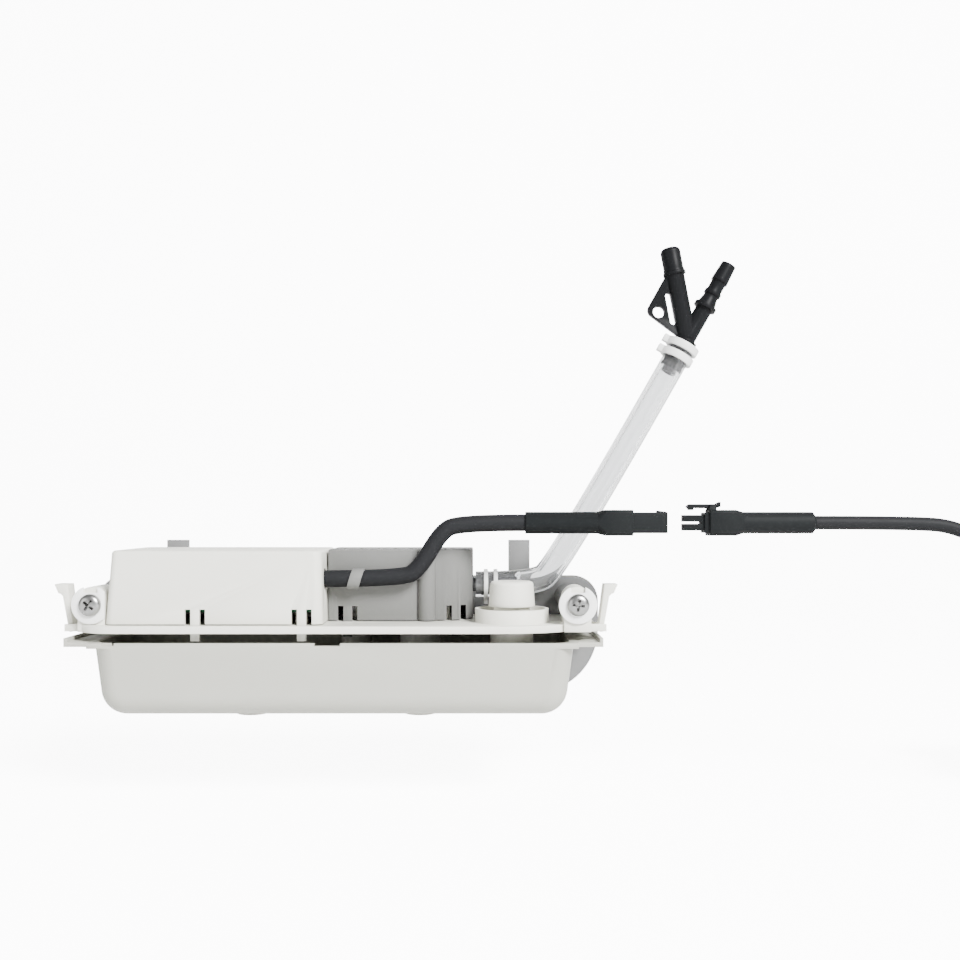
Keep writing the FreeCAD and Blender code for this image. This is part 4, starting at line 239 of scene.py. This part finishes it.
def maths(tree, way, first, second):
    made = tree.nodes.new("ShaderNodeMath")
    made.operation = way
    for socket, value in zip(made.inputs, (first, second)):
        if isinstance(value, (int, float)):
            socket.default_value = value
        else:
            tree.links.new(value, socket)
    return made.outputs[0]


def mixed(tree, share, first, second):
    made = tree.nodes.new("ShaderNodeMix")
    made.data_type = "RGBA"
    tree.links.new(share, made.inputs[0])
    tree.links.new(first, made.inputs[6])
    tree.links.new(second, made.inputs[7])
    return made.outputs[2]


def bump(tree, height, strength, distance):
    made = tree.nodes.new("ShaderNodeBump")
    made.inputs["Distance"].default_value = distance
    tree.links.new(height, made.inputs["Height"])
    tree.links.new(strength, made.inputs["Strength"])
    return made.outputs["Normal"]


def moulded_surface():
    """Spark-eroded mould grain with slow changes of tone and of gloss."""
    tree, entry, leave = shared(
        "moulded surface",
        [
            ("Colour", "Color", (0.7, 0.7, 0.7, 1)), ("Shade", "Color", (0.6, 0.6, 0.6, 1)),
            ("Grain", "Float", 2200), ("Depth", "Float", 0.3),
            ("Roughness", "Float", 0.45), ("Spread", "Float", 0.1),
        ],
        [("Colour", "Color"), ("Roughness", "Float"), ("Normal", "Vector")],
    )
    spot = tree.nodes.new("ShaderNodeTexCoord").outputs["Object"]
    slow = noise(tree, 30, spot, 3)
    middling = noise(tree, 240, spot)
    fine = noise(tree, entry.outputs["Grain"], spot)
    colour = mixed(tree, slow, entry.outputs["Colour"], entry.outputs["Shade"])
    tree.links.new(colour, leave.inputs["Colour"])
    swing = maths(tree, "MULTIPLY", maths(tree, "SUBTRACT", middling, 0.5), entry.outputs["Spread"])
    tree.links.new(maths(tree, "ADD", entry.outputs["Roughness"], swing), leave.inputs["Roughness"])
    tree.links.new(bump(tree, fine, entry.outputs["Depth"], 0.05 * MM), leave.inputs["Normal"])
    return tree


def drawn_metal():
    """Fine lines along one direction, as rolled, drawn or turned metal has."""
    tree, entry, leave = shared(
        "drawn metal",
        [
            ("Colour", "Color", (0.7, 0.7, 0.7, 1)), ("Shade", "Color", (0.5, 0.5, 0.5, 1)),
            ("Stretch", "Vector", (40, 1500, 1500)), ("Depth", "Float", 0.2),
            ("Roughness", "Float", 0.3), ("Spread", "Float", 0.15),
        ],
        [("Colour", "Color"), ("Roughness", "Float"), ("Normal", "Vector")],
    )
    spot = tree.nodes.new("ShaderNodeTexCoord").outputs["Object"]
    lay = tree.nodes.new("ShaderNodeVectorMath")
    lay.operation = "MULTIPLY"
    tree.links.new(spot, lay.inputs[0])
    tree.links.new(entry.outputs["Stretch"], lay.inputs[1])
    lines = noise(tree, 1, lay.outputs["Vector"], 3)
    colour = mixed(tree, lines, entry.outputs["Colour"], entry.outputs["Shade"])
    tree.links.new(colour, leave.inputs["Colour"])
    swing = maths(tree, "MULTIPLY", maths(tree, "SUBTRACT", lines, 0.5), entry.outputs["Spread"])
    tree.links.new(maths(tree, "ADD", entry.outputs["Roughness"], swing), leave.inputs["Roughness"])
    tree.links.new(bump(tree, lines, entry.outputs["Depth"], 0.02 * MM), leave.inputs["Normal"])
    return tree


MOULDED = moulded_surface()
DRAWN = drawn_metal()


def dressed(name, group, words, fixed=()):
    """A material whose look comes from one shared effect. fixed sets the shader's own sockets."""
    material = bpy.data.materials.new(name)
    material.use_nodes = True
    tree = material.node_tree
    shader = tree.nodes["Principled BSDF"]
    effect = tree.nodes.new("ShaderNodeGroup")
    effect.node_tree = group
    for word, value in words.items():
        effect.inputs[word].default_value = value
    for word, socket in (("Colour", "Base Color"), ("Roughness", "Roughness"), ("Normal", "Normal")):
        tree.links.new(effect.outputs[word], shader.inputs[socket])
    for word, value in dict(fixed).items():
        shader.inputs[word].default_value = value
    return material


def plastic(name, colour, roughness=0.45, mottle=0.05, grain=2200, depth=0.25, spread=0.1, **fixed):
    """Moulded plastic or rubber. mottle is how much darker its shade is."""
    words = {
        "Colour": (*colour, 1), "Shade": (*(part * (1 - mottle) for part in colour), 1),
        "Grain": grain, "Depth": depth, "Roughness": roughness, "Spread": spread,
    }
    own = {"Specular IOR Level": 0.4}
    own.update({word.replace("_", " "): value for word, value in fixed.items()})
    return dressed(name, MOULDED, words, own)


def metal(name, colour, roughness=0.3, mottle=0.25, stretch=(40, 1500, 1500), depth=0.2, spread=0.15):
    words = {
        "Colour": (*colour, 1), "Shade": (*(part * (1 - mottle) for part in colour), 1),
        "Stretch": stretch, "Depth": depth, "Roughness": roughness, "Spread": spread,
    }
    return dressed(name, DRAWN, words, {"Metallic": 1})


def clear_tube():
    """Clear soft tubing with a faint haze."""
    material = plastic("clear tube", (0.94, 0.95, 0.96), 0.03, 0.02, 300, 0.01, 0.02)
    shader = material.node_tree.nodes["Principled BSDF"]
    shader.inputs["Transmission Weight"].default_value = 0.95
    shader.inputs["IOR"].default_value = 1.42
    return material


def core_finish():
    """The cores' own colours and their tinned ferrules, read from the piece's attributes."""
    material = plastic("core wires", (0.1, 0.05, 0.03), 0.38, 0.05, 1500, 0.08)
    tree = material.node_tree
    effect = next(node for node in tree.nodes if node.type == "GROUP")
    tone = tree.nodes.new("ShaderNodeAttribute")
    tone.attribute_name = "tone"
    for word in ("Colour", "Shade"):
        tree.links.new(tone.outputs["Color"], effect.inputs[word])
    tin = tree.nodes.new("ShaderNodeAttribute")
    tin.attribute_name = "tin"
    tree.links.new(tin.outputs["Fac"], tree.nodes["Principled BSDF"].inputs["Metallic"])
    return material


def finishes():
    """One material for each of the record's slots."""
    return {
        "shell_plastic": plastic("shell plastic", (0.67, 0.665, 0.60), 0.45, 0.03, Specular_IOR_Level=0.3),
        # The pump cover's grey plastic, made much darker still with painted shade that stands in for the
        # shadow on the cover's recessed front.
        "case_plastic": plastic("case plastic painted shade", (0.135, 0.136, 0.13), 0.5, 0.04, Specular_IOR_Level=0.12),
        "tank_plastic": plastic("tank plastic", (0.36, 0.36, 0.32), 0.42, 0.04, Specular_IOR_Level=0.2),
        # The wall plate's light grey plastic, painted dark grey: painted shade that stands in for the
        # shadow the pump casts on the plate.
        "wall_plastic": plastic("wall plastic painted shade", (0.15, 0.151, 0.15), 0.5, 0.06, Specular_IOR_Level=0.15),
        "white_rubber": plastic("white rubber", (0.80, 0.80, 0.79), 0.6, 0.03, 1500, 0.3),
        "dark_rubber": plastic(
            "dark rubber", (0.010, 0.010, 0.011), 0.65, 0.2, 1500, 0.35, Specular_IOR_Level=0.12
        ),
        "lead_jacket": plastic(
            "lead jacket", (0.0112, 0.0116, 0.0126), 0.55, 0.06, 1200, 0.08, Specular_IOR_Level=0.06
        ),
        "connector_plastic": plastic(
            "connector plastic", (0.0078, 0.0088, 0.0092), 0.55, 0.1, 2600, 0.12, Specular_IOR_Level=0.05
        ),
        "vee_plastic": plastic(
            "branch plastic", (0.0058, 0.0061, 0.0067), 0.42, 0.1, 2400, 0.1, Specular_IOR_Level=0.05
        ),
        "clear_hose": clear_tube(),
        "clamp_plastic": plastic("clamp plastic", (0.66, 0.66, 0.65), 0.35, 0.03),
        "barb_plastic": plastic("barb plastic", (0.06, 0.062, 0.065), 0.35, 0.06),
        "zinc_steel": metal("zinc plate", (0.31, 0.31, 0.305), 0.3, 0.12, (900, 60, 900)),
        "spring_steel": metal("spring wire", (0.62, 0.62, 0.64), 0.25, 0.2),
        "frame_steel": metal("pressed steel", (0.46, 0.46, 0.48), 0.38, 0.2, (60, 60, 1400)),
        "copper": metal("copper winding", (0.68, 0.30, 0.14), 0.32, 0.45, (3400, 60, 60), 0.9),
        "board": plastic("circuit board", (0.02, 0.12, 0.05), 0.35, 0.25, 900, 0.3),
        "black_part": plastic("black moulding", (0.02, 0.02, 0.02), 0.4, 0.2, 2000, 0.35),
        "white_nylon": plastic("natural nylon", (0.45, 0.445, 0.42), 0.4, 0.05),
        "float_foam": plastic("float foam", (0.78, 0.78, 0.76), 0.75, 0.06, 1400, 0.8),
        "magnet": plastic("sintered magnet", (0.05, 0.05, 0.055), 0.45, 0.3, 3000, 0.6, Metallic=0.6),
        "tin": metal("tinned contact", (0.74, 0.73, 0.70), 0.22, 0.1),
        "core_wire": core_finish(),
    }


FINISH = finishes()
SLOT = {part["node"]: part["material_slot"] for part in frame["record"]["subparts"]}
BODY = {node: body for body, nodes in frame["record"]["behaviour"]["bodies"].items() for node in nodes}


# Making and placing pieces


def piece_of(name, mesh, slot, body, nodes):
    """A finished piece: its object, material, slot, body and the nodes that it stands for."""
    made = bpy.data.objects.new(name, mesh)
    bpy.context.collection.objects.link(made)
    mesh.materials.clear()
    mesh.materials.append(FINISH[slot])
    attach(made, body)
    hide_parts(*nodes)
    return made


def stands_for(node, mesh):
    """A piece made in place of one CAD node, in its slot and on its body."""
    piece_of(f"{node}_piece", mesh, SLOT[node], BODY[node], [node])


def baked(made):
    """The object's mesh with its modifiers applied. The object itself is thrown away."""
    bpy.context.view_layer.update()
    graph = bpy.context.evaluated_depsgraph_get()
    mesh = bpy.data.meshes.new_from_object(made.evaluated_get(graph), depsgraph=graph)
    bpy.data.objects.remove(made)
    return mesh


def closed_mesh(name, shape):
    """The finished bmesh as a mesh, with its faces turned outwards."""
    bmesh.ops.recalc_face_normals(shape, faces=shape.faces)
    mesh = bpy.data.meshes.new(name)
    shape.to_mesh(mesh)
    shape.free()
    return mesh


def smooth(mesh, angle=32):
    """Shades the faces smooth, apart from edges sharper than the angle."""
    for face in mesh.polygons:
        face.use_smooth = True
    mesh.set_sharp_from_angle(angle=math.radians(angle))
    return mesh


def clean_copy(node):
    """A CAD node's mesh with its doubles merged and its flat faces joined."""
    shape = bmesh.new()
    shape.from_mesh(frame["nodes"][node].data)
    bmesh.ops.remove_doubles(shape, verts=shape.verts, dist=MM / 1000)
    bmesh.ops.dissolve_limit(
        shape, angle_limit=math.radians(0.2), verts=shape.verts, edges=shape.edges, delimit={"NORMAL"}
    )
    mesh = bpy.data.meshes.new(f"{node}_form")
    shape.to_mesh(mesh)
    shape.free()
    return mesh


def lifted(mesh, level, rise):
    """Raises a cover's rim a little off its plate, which leaves the shadow line under it."""
    for vertex in mesh.vertices:
        if abs(vertex.co.z - level) < MM / 50:
            vertex.co.z += rise
    return mesh


def edged(node, width, segments=2, angle=35, rise=0):
    """A moulding: the CAD solid with its sharp edges rounded."""
    form = bpy.data.objects.new(f"{node}_form", lifted(clean_copy(node), COVER_FOOT, rise))
    bpy.context.collection.objects.link(form)
    round_off = form.modifiers.new("edges", "BEVEL")
    round_off.width = width
    round_off.segments = segments
    round_off.limit_method = "ANGLE"
    round_off.angle_limit = math.radians(angle)
    round_off.miter_outer = "MITER_ARC"
    stands_for(node, smooth(baked(form)))


def turned(name, profile, sides):
    """A closed solid turned about the y axis. profile holds (y, radius), from pole to pole."""
    shape = bmesh.new()
    rings = []
    for along, radius in profile:
        if radius == 0:
            rings.append([shape.verts.new((0, along, 0))])
            continue
        rings.append([
            shape.verts.new((radius * math.cos(turn), along, radius * math.sin(turn)))
            for turn in (2 * math.pi * step / sides for step in range(sides))
        ])
    for low, high in zip(rings, rings[1:]):
        for step in range(sides):
            after = (step + 1) % sides
            corners = [low[step % len(low)], low[after % len(low)]]
            corners += [high[after % len(high)], high[step % len(high)]]
            shape.faces.new(list(dict.fromkeys(corners)))
    return closed_mesh(name, shape)


# The two fixing screws

HEAD_ROUND = 4.2 * MM
HEAD_HIGH = 2.4 * MM
HEAD_FLAT = 1.5 * MM
HEAD_RIM = 0.28
SHANK_ROUND = 2 * MM
THREAD_DEEP = 0.35 * MM
THREAD_PITCH = 1.4 * MM
THREAD_FOOT = SHANK_ROUND - THREAD_DEEP
THREAD = ((0, THREAD_FOOT), (0.4, SHANK_ROUND), (0.55, SHANK_ROUND), (0.95, THREAD_FOOT))
SCREW_LONG = 34 * MM
CROSS_ARM = 2.5 * MM
CROSS_WIDE = 1.05 * MM
CROSS_DEEP = 1.9 * MM
CROSS_TAPER = 0.45
OVER = 0.2 * MM
CROSS_LEAST = 0.3 * MM
SCREW_TURNS = (38, 8)


def cross_tool(name):
    """The tapered cross that a driver's bit leaves in the head."""
    shape = bmesh.new()
    start = -HEAD_HIGH - OVER
    deep = start + OVER + CROSS_DEEP
    mouth = ((CROSS_ARM, CROSS_WIDE / 2), (CROSS_WIDE / 2, CROSS_ARM))
    for long, wide in mouth:
        ends = []
        for along, share in ((start, 1), (deep, CROSS_TAPER)):
            half = (max(long * share, CROSS_LEAST), max(wide * share, CROSS_LEAST))
            ends.append([
                shape.verts.new((side * half[0], along, up * half[1]))
                for side, up in ((-1, -1), (1, -1), (1, 1), (-1, 1))
            ])
        shape.faces.new(ends[0])
        shape.faces.new(ends[1][::-1])
        for step in range(4):
            after = (step + 1) % 4
            shape.faces.new((ends[0][step], ends[1][step], ends[1][after], ends[0][after]))
    return closed_mesh(name, shape)


def screw_form():
    """One pan-head screw with a thread, its head's seat at the origin and its shank along +y."""
    profile = [(-HEAD_HIGH, 0), (-HEAD_HIGH, HEAD_FLAT)]
    steps = 8
    for step in range(1, steps + 1):
        turn = step / steps * math.pi / 2
        out = HEAD_FLAT + (HEAD_ROUND - HEAD_FLAT) * math.sin(turn)
        rise = HEAD_HIGH * HEAD_RIM + HEAD_HIGH * (1 - HEAD_RIM) * math.cos(turn)
        profile.append((-rise, out))
    profile += [(-0.15 * MM, HEAD_ROUND), (0, HEAD_ROUND - 0.15 * MM), (0, SHANK_ROUND)]
    along = 2 * MM
    while along < SCREW_LONG - 3 * MM:
        for share, radius in THREAD:
            profile.append((along + THREAD_PITCH * share, radius))
        along += THREAD_PITCH
    profile += [(SCREW_LONG - 0.5 * MM, 0.3 * MM), (SCREW_LONG, 0)]
    whole = bpy.data.objects.new("screw_whole", turned("screw_whole", profile, 40))
    tool = bpy.data.objects.new("screw_cross", cross_tool("screw_cross"))
    for made in (whole, tool):
        bpy.context.collection.objects.link(made)
    sink = whole.modifiers.new("cross", "BOOLEAN")
    sink.operation = "DIFFERENCE"
    sink.solver = "EXACT"
    sink.use_self = True
    sink.object = tool
    mesh = baked(whole)
    bpy.data.objects.remove(tool)
    return smooth(mesh, 35)


def placing_group():
    """Puts one object at each point, turned about y by the point's own turn."""
    tree = bpy.data.node_groups.new("placed copies", "GeometryNodeTree")
    for word, kind in (("Places", "Geometry"), ("Copy", "Object"), ("Finish", "Material")):
        tree.interface.new_socket(word, in_out="INPUT", socket_type=f"NodeSocket{kind}")
    tree.interface.new_socket("Copies", in_out="OUTPUT", socket_type="NodeSocketGeometry")
    entry = tree.nodes.new("NodeGroupInput")
    leave = tree.nodes.new("NodeGroupOutput")
    source = tree.nodes.new("GeometryNodeObjectInfo")
    turn = tree.nodes.new("GeometryNodeInputNamedAttribute")
    turn.inputs["Name"].default_value = "turn"
    angles = tree.nodes.new("ShaderNodeCombineXYZ")
    place = tree.nodes.new("GeometryNodeInstanceOnPoints")
    solid = tree.nodes.new("GeometryNodeRealizeInstances")
    finish = tree.nodes.new("GeometryNodeSetMaterial")
    link = tree.links.new
    link(entry.outputs["Copy"], source.inputs["Object"])
    link(entry.outputs["Places"], place.inputs["Points"])
    link(source.outputs["Geometry"], place.inputs["Instance"])
    link(turn.outputs[0], angles.inputs["Y"])
    link(angles.outputs[0], place.inputs["Rotation"])
    link(place.outputs["Instances"], solid.inputs["Geometry"])
    link(solid.outputs["Geometry"], finish.inputs["Geometry"])
    link(entry.outputs["Finish"], finish.inputs["Material"])
    link(finish.outputs["Geometry"], leave.inputs["Copies"])
    return tree


def screws():
    """Both fixing screws: one form, set at its two places and turned as in the photo."""
    corners = [vertex.co for vertex in frame["nodes"]["fixing_screws"].data.vertices]
    left = min(spot.x for spot in corners) + HEAD_ROUND
    right = max(spot.x for spot in corners) - HEAD_ROUND
    seat = min(spot.y for spot in corners) + HEAD_HIGH
    high = (min(spot.z for spot in corners) + max(spot.z for spot in corners)) / 2
    form = bpy.data.objects.new("screw_form", screw_form())
    bpy.context.collection.objects.link(form)
    places = bpy.data.meshes.new("screw_places")
    places.from_pydata([(left, seat, high), (right, seat, high)], [], [])
    turns = places.attributes.new("turn", "FLOAT", "POINT")
    for item, angle in zip(turns.data, SCREW_TURNS):
        item.value = math.radians(angle)
    made = bpy.data.objects.new("screw_places", places)
    bpy.context.collection.objects.link(made)
    spread = made.modifiers.new("copies", "NODES")
    spread.node_group = placing_group()
    sockets = spread.node_group.interface.items_tree
    words = {item.name: item.identifier for item in sockets if item.in_out == "INPUT"}
    spread[words["Copy"]] = form
    spread[words["Finish"]] = FINISH["zinc_steel"]
    mesh = baked(made)
    bpy.data.objects.remove(form)
    stands_for("fixing_screws", mesh)


# The vent cap

VENT_WAY = (-0.187381, 0, 0.982287)
CAP_BORE = 3.03 * MM
CAP_ROOF = 3.8 * MM
CAP_CROWN = 2 * MM


def domed_cap():
    """The vent branch's cap: a soft cap with a rounded crown and a small bead at its mouth."""
    way = Vector(VENT_WAY).normalized()
    corners = [vertex.co for vertex in frame["nodes"]["vent_cap"].data.vertices]
    low = min(spot.dot(way) for spot in corners)
    long = max(spot.dot(way) for spot in corners) - low
    flat = [spot - way * spot.dot(way) for spot in corners]
    middle = Vector([(max(row) + min(row)) / 2 for row in zip(*flat)])
    outer = max((spot - middle).length for spot in flat)
    profile = [(long - CAP_ROOF, 0), (long - CAP_ROOF, CAP_BORE), (0, CAP_BORE), (0, outer - 0.2 * MM)]
    profile += [(0.15 * MM, outer), (0.9 * MM, outer), (1.1 * MM, outer - 0.15 * MM)]
    steps = 8
    for step in range(steps + 1):
        turn = step / steps * math.pi / 2
        rise = long - CAP_CROWN + CAP_CROWN * math.sin(turn)
        profile.append((rise, outer - 0.15 * MM - CAP_CROWN * (1 - math.cos(turn))))
    profile.append((long, 0))
    mesh = turned("vent_cap_form", profile, 48)
    turn = Vector((0, 1, 0)).rotation_difference(way)
    mesh.transform(Matrix.Translation(middle + way * low) @ turn.to_matrix().to_4x4())
    stands_for("vent_cap", smooth(mesh, 40))


# The supply lead's four cores, with the colours of each one's two sides

CORE_PITCH = 2 * MM
CORE_ROUND = 0.9 * MM
CORE_LONG = 14 * MM
FERRULE_LONG = 6 * MM
CRIMP = FERRULE_LONG * 0.55
TIN = (0.62, 0.61, 0.58)
BROWN = (0.11, 0.045, 0.02)
BLUE = (0.02, 0.09, 0.40)
BLACK = (0.012, 0.012, 0.013)
GREEN = (0.03, 0.26, 0.05)
YELLOW = (0.78, 0.62, 0.03)
CORES = ((BROWN, BROWN), (BLUE, BLUE), (BLACK, BLACK), (GREEN, YELLOW))


def core_ends():
    """Four cores side by side with crimped ferrules, the last one striped."""
    bare = CORE_ROUND / 2
    end = FERRULE_LONG + CORE_LONG
    profile = [
        (0, 0), (0, 0.4 * MM), (0.1 * MM, bare), (CRIMP - 0.6 * MM, bare), (CRIMP, bare - 0.08 * MM),
        (FERRULE_LONG - 0.6 * MM, bare), (FERRULE_LONG, bare), (FERRULE_LONG, CORE_ROUND - 0.1 * MM),
        (FERRULE_LONG + 0.15 * MM, CORE_ROUND), (end, CORE_ROUND), (end, 0),
    ]
    form = turned("core_form", profile, 24)
    old = [vertex.co for vertex in frame["nodes"]["core_ends"].data.vertices]
    left, back, low = (min(spot[way] for spot in old) for way in range(3))
    spots, faces, tones, tins = [], [], [], []
    for count, core in enumerate(CORES):
        first = len(spots)
        row, column = divmod(count, 2)
        middle = (back + CORE_ROUND + CORE_PITCH * column, low + CORE_ROUND + CORE_PITCH * row)
        for vertex in form.vertices:
            side, along, up = vertex.co
            tinned = along <= FERRULE_LONG and math.hypot(side, up) < CORE_ROUND * 0.6
            spots.append((left + along, middle[0] - side, middle[1] + up))
            jacket = core[0] if side > 0 else core[1]
            tones.append(TIN if tinned else jacket)
            tins.append(1.0 if tinned else 0.0)
        faces += [[first + corner for corner in face.vertices] for face in form.polygons]
    mesh = bpy.data.meshes.new("core_ends_form")
    mesh.from_pydata(spots, [], faces)
    smooth(mesh, 40)
    mesh.attributes.new("tone", "FLOAT_COLOR", "POINT")
    mesh.attributes.new("tin", "FLOAT", "POINT")
    mesh.attributes["tone"].data.foreach_set("color", [part for tone in tones for part in (*tone, 1)])
    mesh.attributes["tin"].data.foreach_set("value", tins)
    bpy.data.meshes.remove(form)
    stands_for("core_ends", mesh)


# The coil's tie, with the middles of its four rounded corners

TIE_NEAR = 332.8 * MM
TIE_FAR = 350.3 * MM
TIE_LOW = 2.9 * MM
TIE_HIGH = 8 * MM
TIE_ROUND = 2.9 * MM
TIE_THICK = 0.6 * MM
TIE_EDGES = (-1.75 * MM, 2.25 * MM)
TIE_TUCK = 50
TIE_STEPS = 8


def coil_tie():
    """A flat band drawn tight over both layers of turns and tucked in under them."""
    arcs = (
        (TIE_FAR, TIE_LOW, -TIE_TUCK, 0), (TIE_FAR, TIE_HIGH, 0, 90),
        (TIE_NEAR, TIE_HIGH, 90, 180), (TIE_NEAR, TIE_LOW, 180, 180 + TIE_TUCK),
    )
    section = [(edge, TIE_ROUND + layer) for edge, layer in (
        (TIE_EDGES[0], 0), (TIE_EDGES[1], 0), (TIE_EDGES[1], TIE_THICK), (TIE_EDGES[0], TIE_THICK)
    )]
    shape = bmesh.new()
    rows = []
    for middle, height, start, end in arcs:
        for step in range(TIE_STEPS + 1):
            turn = math.radians(start + (end - start) * step / TIE_STEPS)
            rows.append([
                shape.verts.new((middle + reach * math.cos(turn), edge, height + reach * math.sin(turn)))
                for edge, reach in section
            ])
    for low, high in zip(rows, rows[1:]):
        for side in range(4):
            after = (side + 1) % 4
            shape.faces.new((low[side], low[after], high[after], high[side]))
    shape.faces.new(rows[0])
    shape.faces.new(rows[-1][::-1])
    stands_for("coil_tie", smooth(closed_mesh("coil_tie_form", shape), 40))


# Cords


def route_curve(name, points):
    """An open spline that has the route's points as its control points."""
    curve = bpy.data.curves.new(name, "CURVE")
    curve.dimensions = "3D"
    curve.resolution_u = 10
    spline = curve.splines.new("NURBS")
    spline.points.add(len(points) - 1)
    for spot, point in zip(spline.points, points):
        spot.co = (*point, 1)
    spline.order_u = 3
    spline.use_endpoint_u = True
    return curve


def centreline(name, points):
    """Points read from the route's own spline."""
    line = bpy.data.objects.new(name, route_curve(name, points))
    bpy.context.collection.objects.link(line)
    mesh = baked(line)
    return [vertex.co.copy() for vertex in mesh.vertices]


def cable(name, points, radius, nodes, body):
    """A round jacket along a route, in place of its CAD nodes."""
    curve = route_curve(name, points)
    curve.bevel_depth = radius
    curve.bevel_resolution = 6
    curve.use_fill_caps = True
    curve.materials.append(FINISH[SLOT[nodes[0]]])
    made = bpy.data.objects.new(name, curve)
    bpy.context.collection.objects.link(made)
    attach(made, body)
    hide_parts(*nodes)
    return made


def length_of(points):
    """The length of a line of points."""
    return sum((after - before).length for before, after in zip(points, points[1:]))


def tube_mesh(name, line, rings, tight=(0, 0), sides=48):
    """A closed tube that follows a line, with the radii of its outside and its bore.

    The wall grips the barbs over the two lengths in tight, so that it shows them without a gap.
    """
    outer, inner = rings
    total = length_of(line)
    run = 0
    shape = bmesh.new()
    across = Vector((0, 1, 0))
    loops = []
    for count, spot in enumerate(line):
        before = line[max(count - 1, 0)]
        after = line[min(count + 1, len(line) - 1)]
        way = (after - before).normalized()
        side = (across - way * across.dot(way)).normalized()
        up = way.cross(side)
        pair = []
        run += (spot - before).length
        grips = run < tight[0] or run > total - tight[1]
        for radius in (outer, inner - GRIP if grips else inner):
            pair.append([
                shape.verts.new(spot + (side * math.cos(turn) + up * math.sin(turn)) * radius)
                for turn in (2 * math.pi * step / sides for step in range(sides))
            ])
        loops.append(pair)
    for low, high in zip(loops, loops[1:]):
        for skin in (0, 1):
            for step in range(sides):
                after = (step + 1) % sides
                corners = [low[skin][step], low[skin][after], high[skin][after], high[skin][step]]
                shape.faces.new(corners if skin == 0 else corners[::-1])
    for end in (loops[0], loops[-1]):
        for step in range(sides):
            after = (step + 1) % sides
            shape.faces.new((end[0][step], end[0][after], end[1][after], end[1][step]))
    return smooth(closed_mesh(name, shape), 50)


def coil_route():
    """The supply lead's whole line: the route, the coil's two layers and the tail."""
    middle = Vector((*COIL_MIDDLE, 0))
    upper = COIL_INNER + UPPER_TURNS * COIL_PITCH
    points = list(SUPPLY_ROUTE)
    total = round(UPPER_TURNS * COIL_POINTS)
    ramp = COIL_POINTS // 4
    low = SUPPLY_ROUND
    high = low + COIL_PITCH
    for step in range(1, total + 1):
        turn = step / COIL_POINTS
        radius = upper - turn * COIL_PITCH
        sink = max(0, (step - total + ramp) / (2 * ramp))
        points.append(on_ring(middle, radius, turn - 0.25, high - sink * COIL_PITCH))
    total = LOWER_TURNS * COIL_POINTS
    for step in range(1, total + 1):
        turn = step / COIL_POINTS
        radius = COIL_INNER + turn * COIL_PITCH
        rise = max(0, 0.5 - step / (2 * ramp))
        points.append(on_ring(middle, radius, turn + 0.25, low + rise * COIL_PITCH))
    back = points[-1][1]
    points.append((COIL_MIDDLE[0] - 14 * MM, back, low))
    points.append((TAIL_END, back, low))
    return points


def on_ring(middle, radius, turn, high):
    """A control point on a circle, a little outside it, because the spline cuts inside its points."""
    angle = 2 * math.pi * turn
    out = radius / math.cos(math.pi / COIL_POINTS) ** 2
    out = radius + (out - radius) / 2
    return (middle.x + out * math.cos(angle), middle.y + out * math.sin(angle), high)


def cords():
    """The short lead, the clear hose and the supply lead."""
    jacket = cable("pump_lead_jacket", LEAD_ROUTE, LEAD_ROUND, ["pump_lead"], "pump")
    line = centreline("lead_line", LEAD_ROUTE)
    line = centreline("hose_line", HOSE_ROUTE)
    mesh = tube_mesh("clear_hose", line, (HOSE_ROUND, HOSE_BORE), HOSE_GRIPS)
    hose = piece_of("clear_hose", mesh, "clear_hose", "pump", ["discharge_hose"])
    route = coil_route()
    nodes = ["supply_cable", "supply_coil", "supply_tail"]
    supply = cable("supply_lead_jacket", route, SUPPLY_ROUND, nodes, "supply_lead")
    line = centreline("supply_line", route)


# Mouldings and the nodes that stay as they are


def mouldings():
    """Mouldings whose CAD shape is right and whose sharp edges need rounding."""
    widths = {
        "tank": 0.35, "base_plate": 0.3, "wall_plate": 0.35, "electronics_cover": 0.25, "pump_cover": 0.25,
        "rubber_bush_left": 0.3, "rubber_bush_right": 0.3,
        "release_lever_left": 0.3, "release_lever_right": 0.3, "inlet_cap": 0.3,
        "socket_housing": 0.2, "plug_housing": 0.2, "plug_latch": 0.15, "y_connector": 0.2,
        "hose_clamps_lower": 0.15, "hose_clamps_upper": 0.25, "lead_strap": 0.2, "lead_gland": 0.2,
        "outlet_barb": 0.1,
    }
    for node, width in widths.items():
        covers = node in ("electronics_cover", "pump_cover")
        edged(node, width * MM, rise=RIM_GAP if covers else 0)


def carried_over():
    """CAD nodes that stay as they are, with a finish of their own."""
    for node, made in frame["nodes"].items():
        made.data.materials.clear()
        made.data.materials.append(FINISH[SLOT[node]])


camera()
backdrop()
lights()
mouldings()
screws()
domed_cap()
coil_tie()
core_ends()
carried_over()
cords()
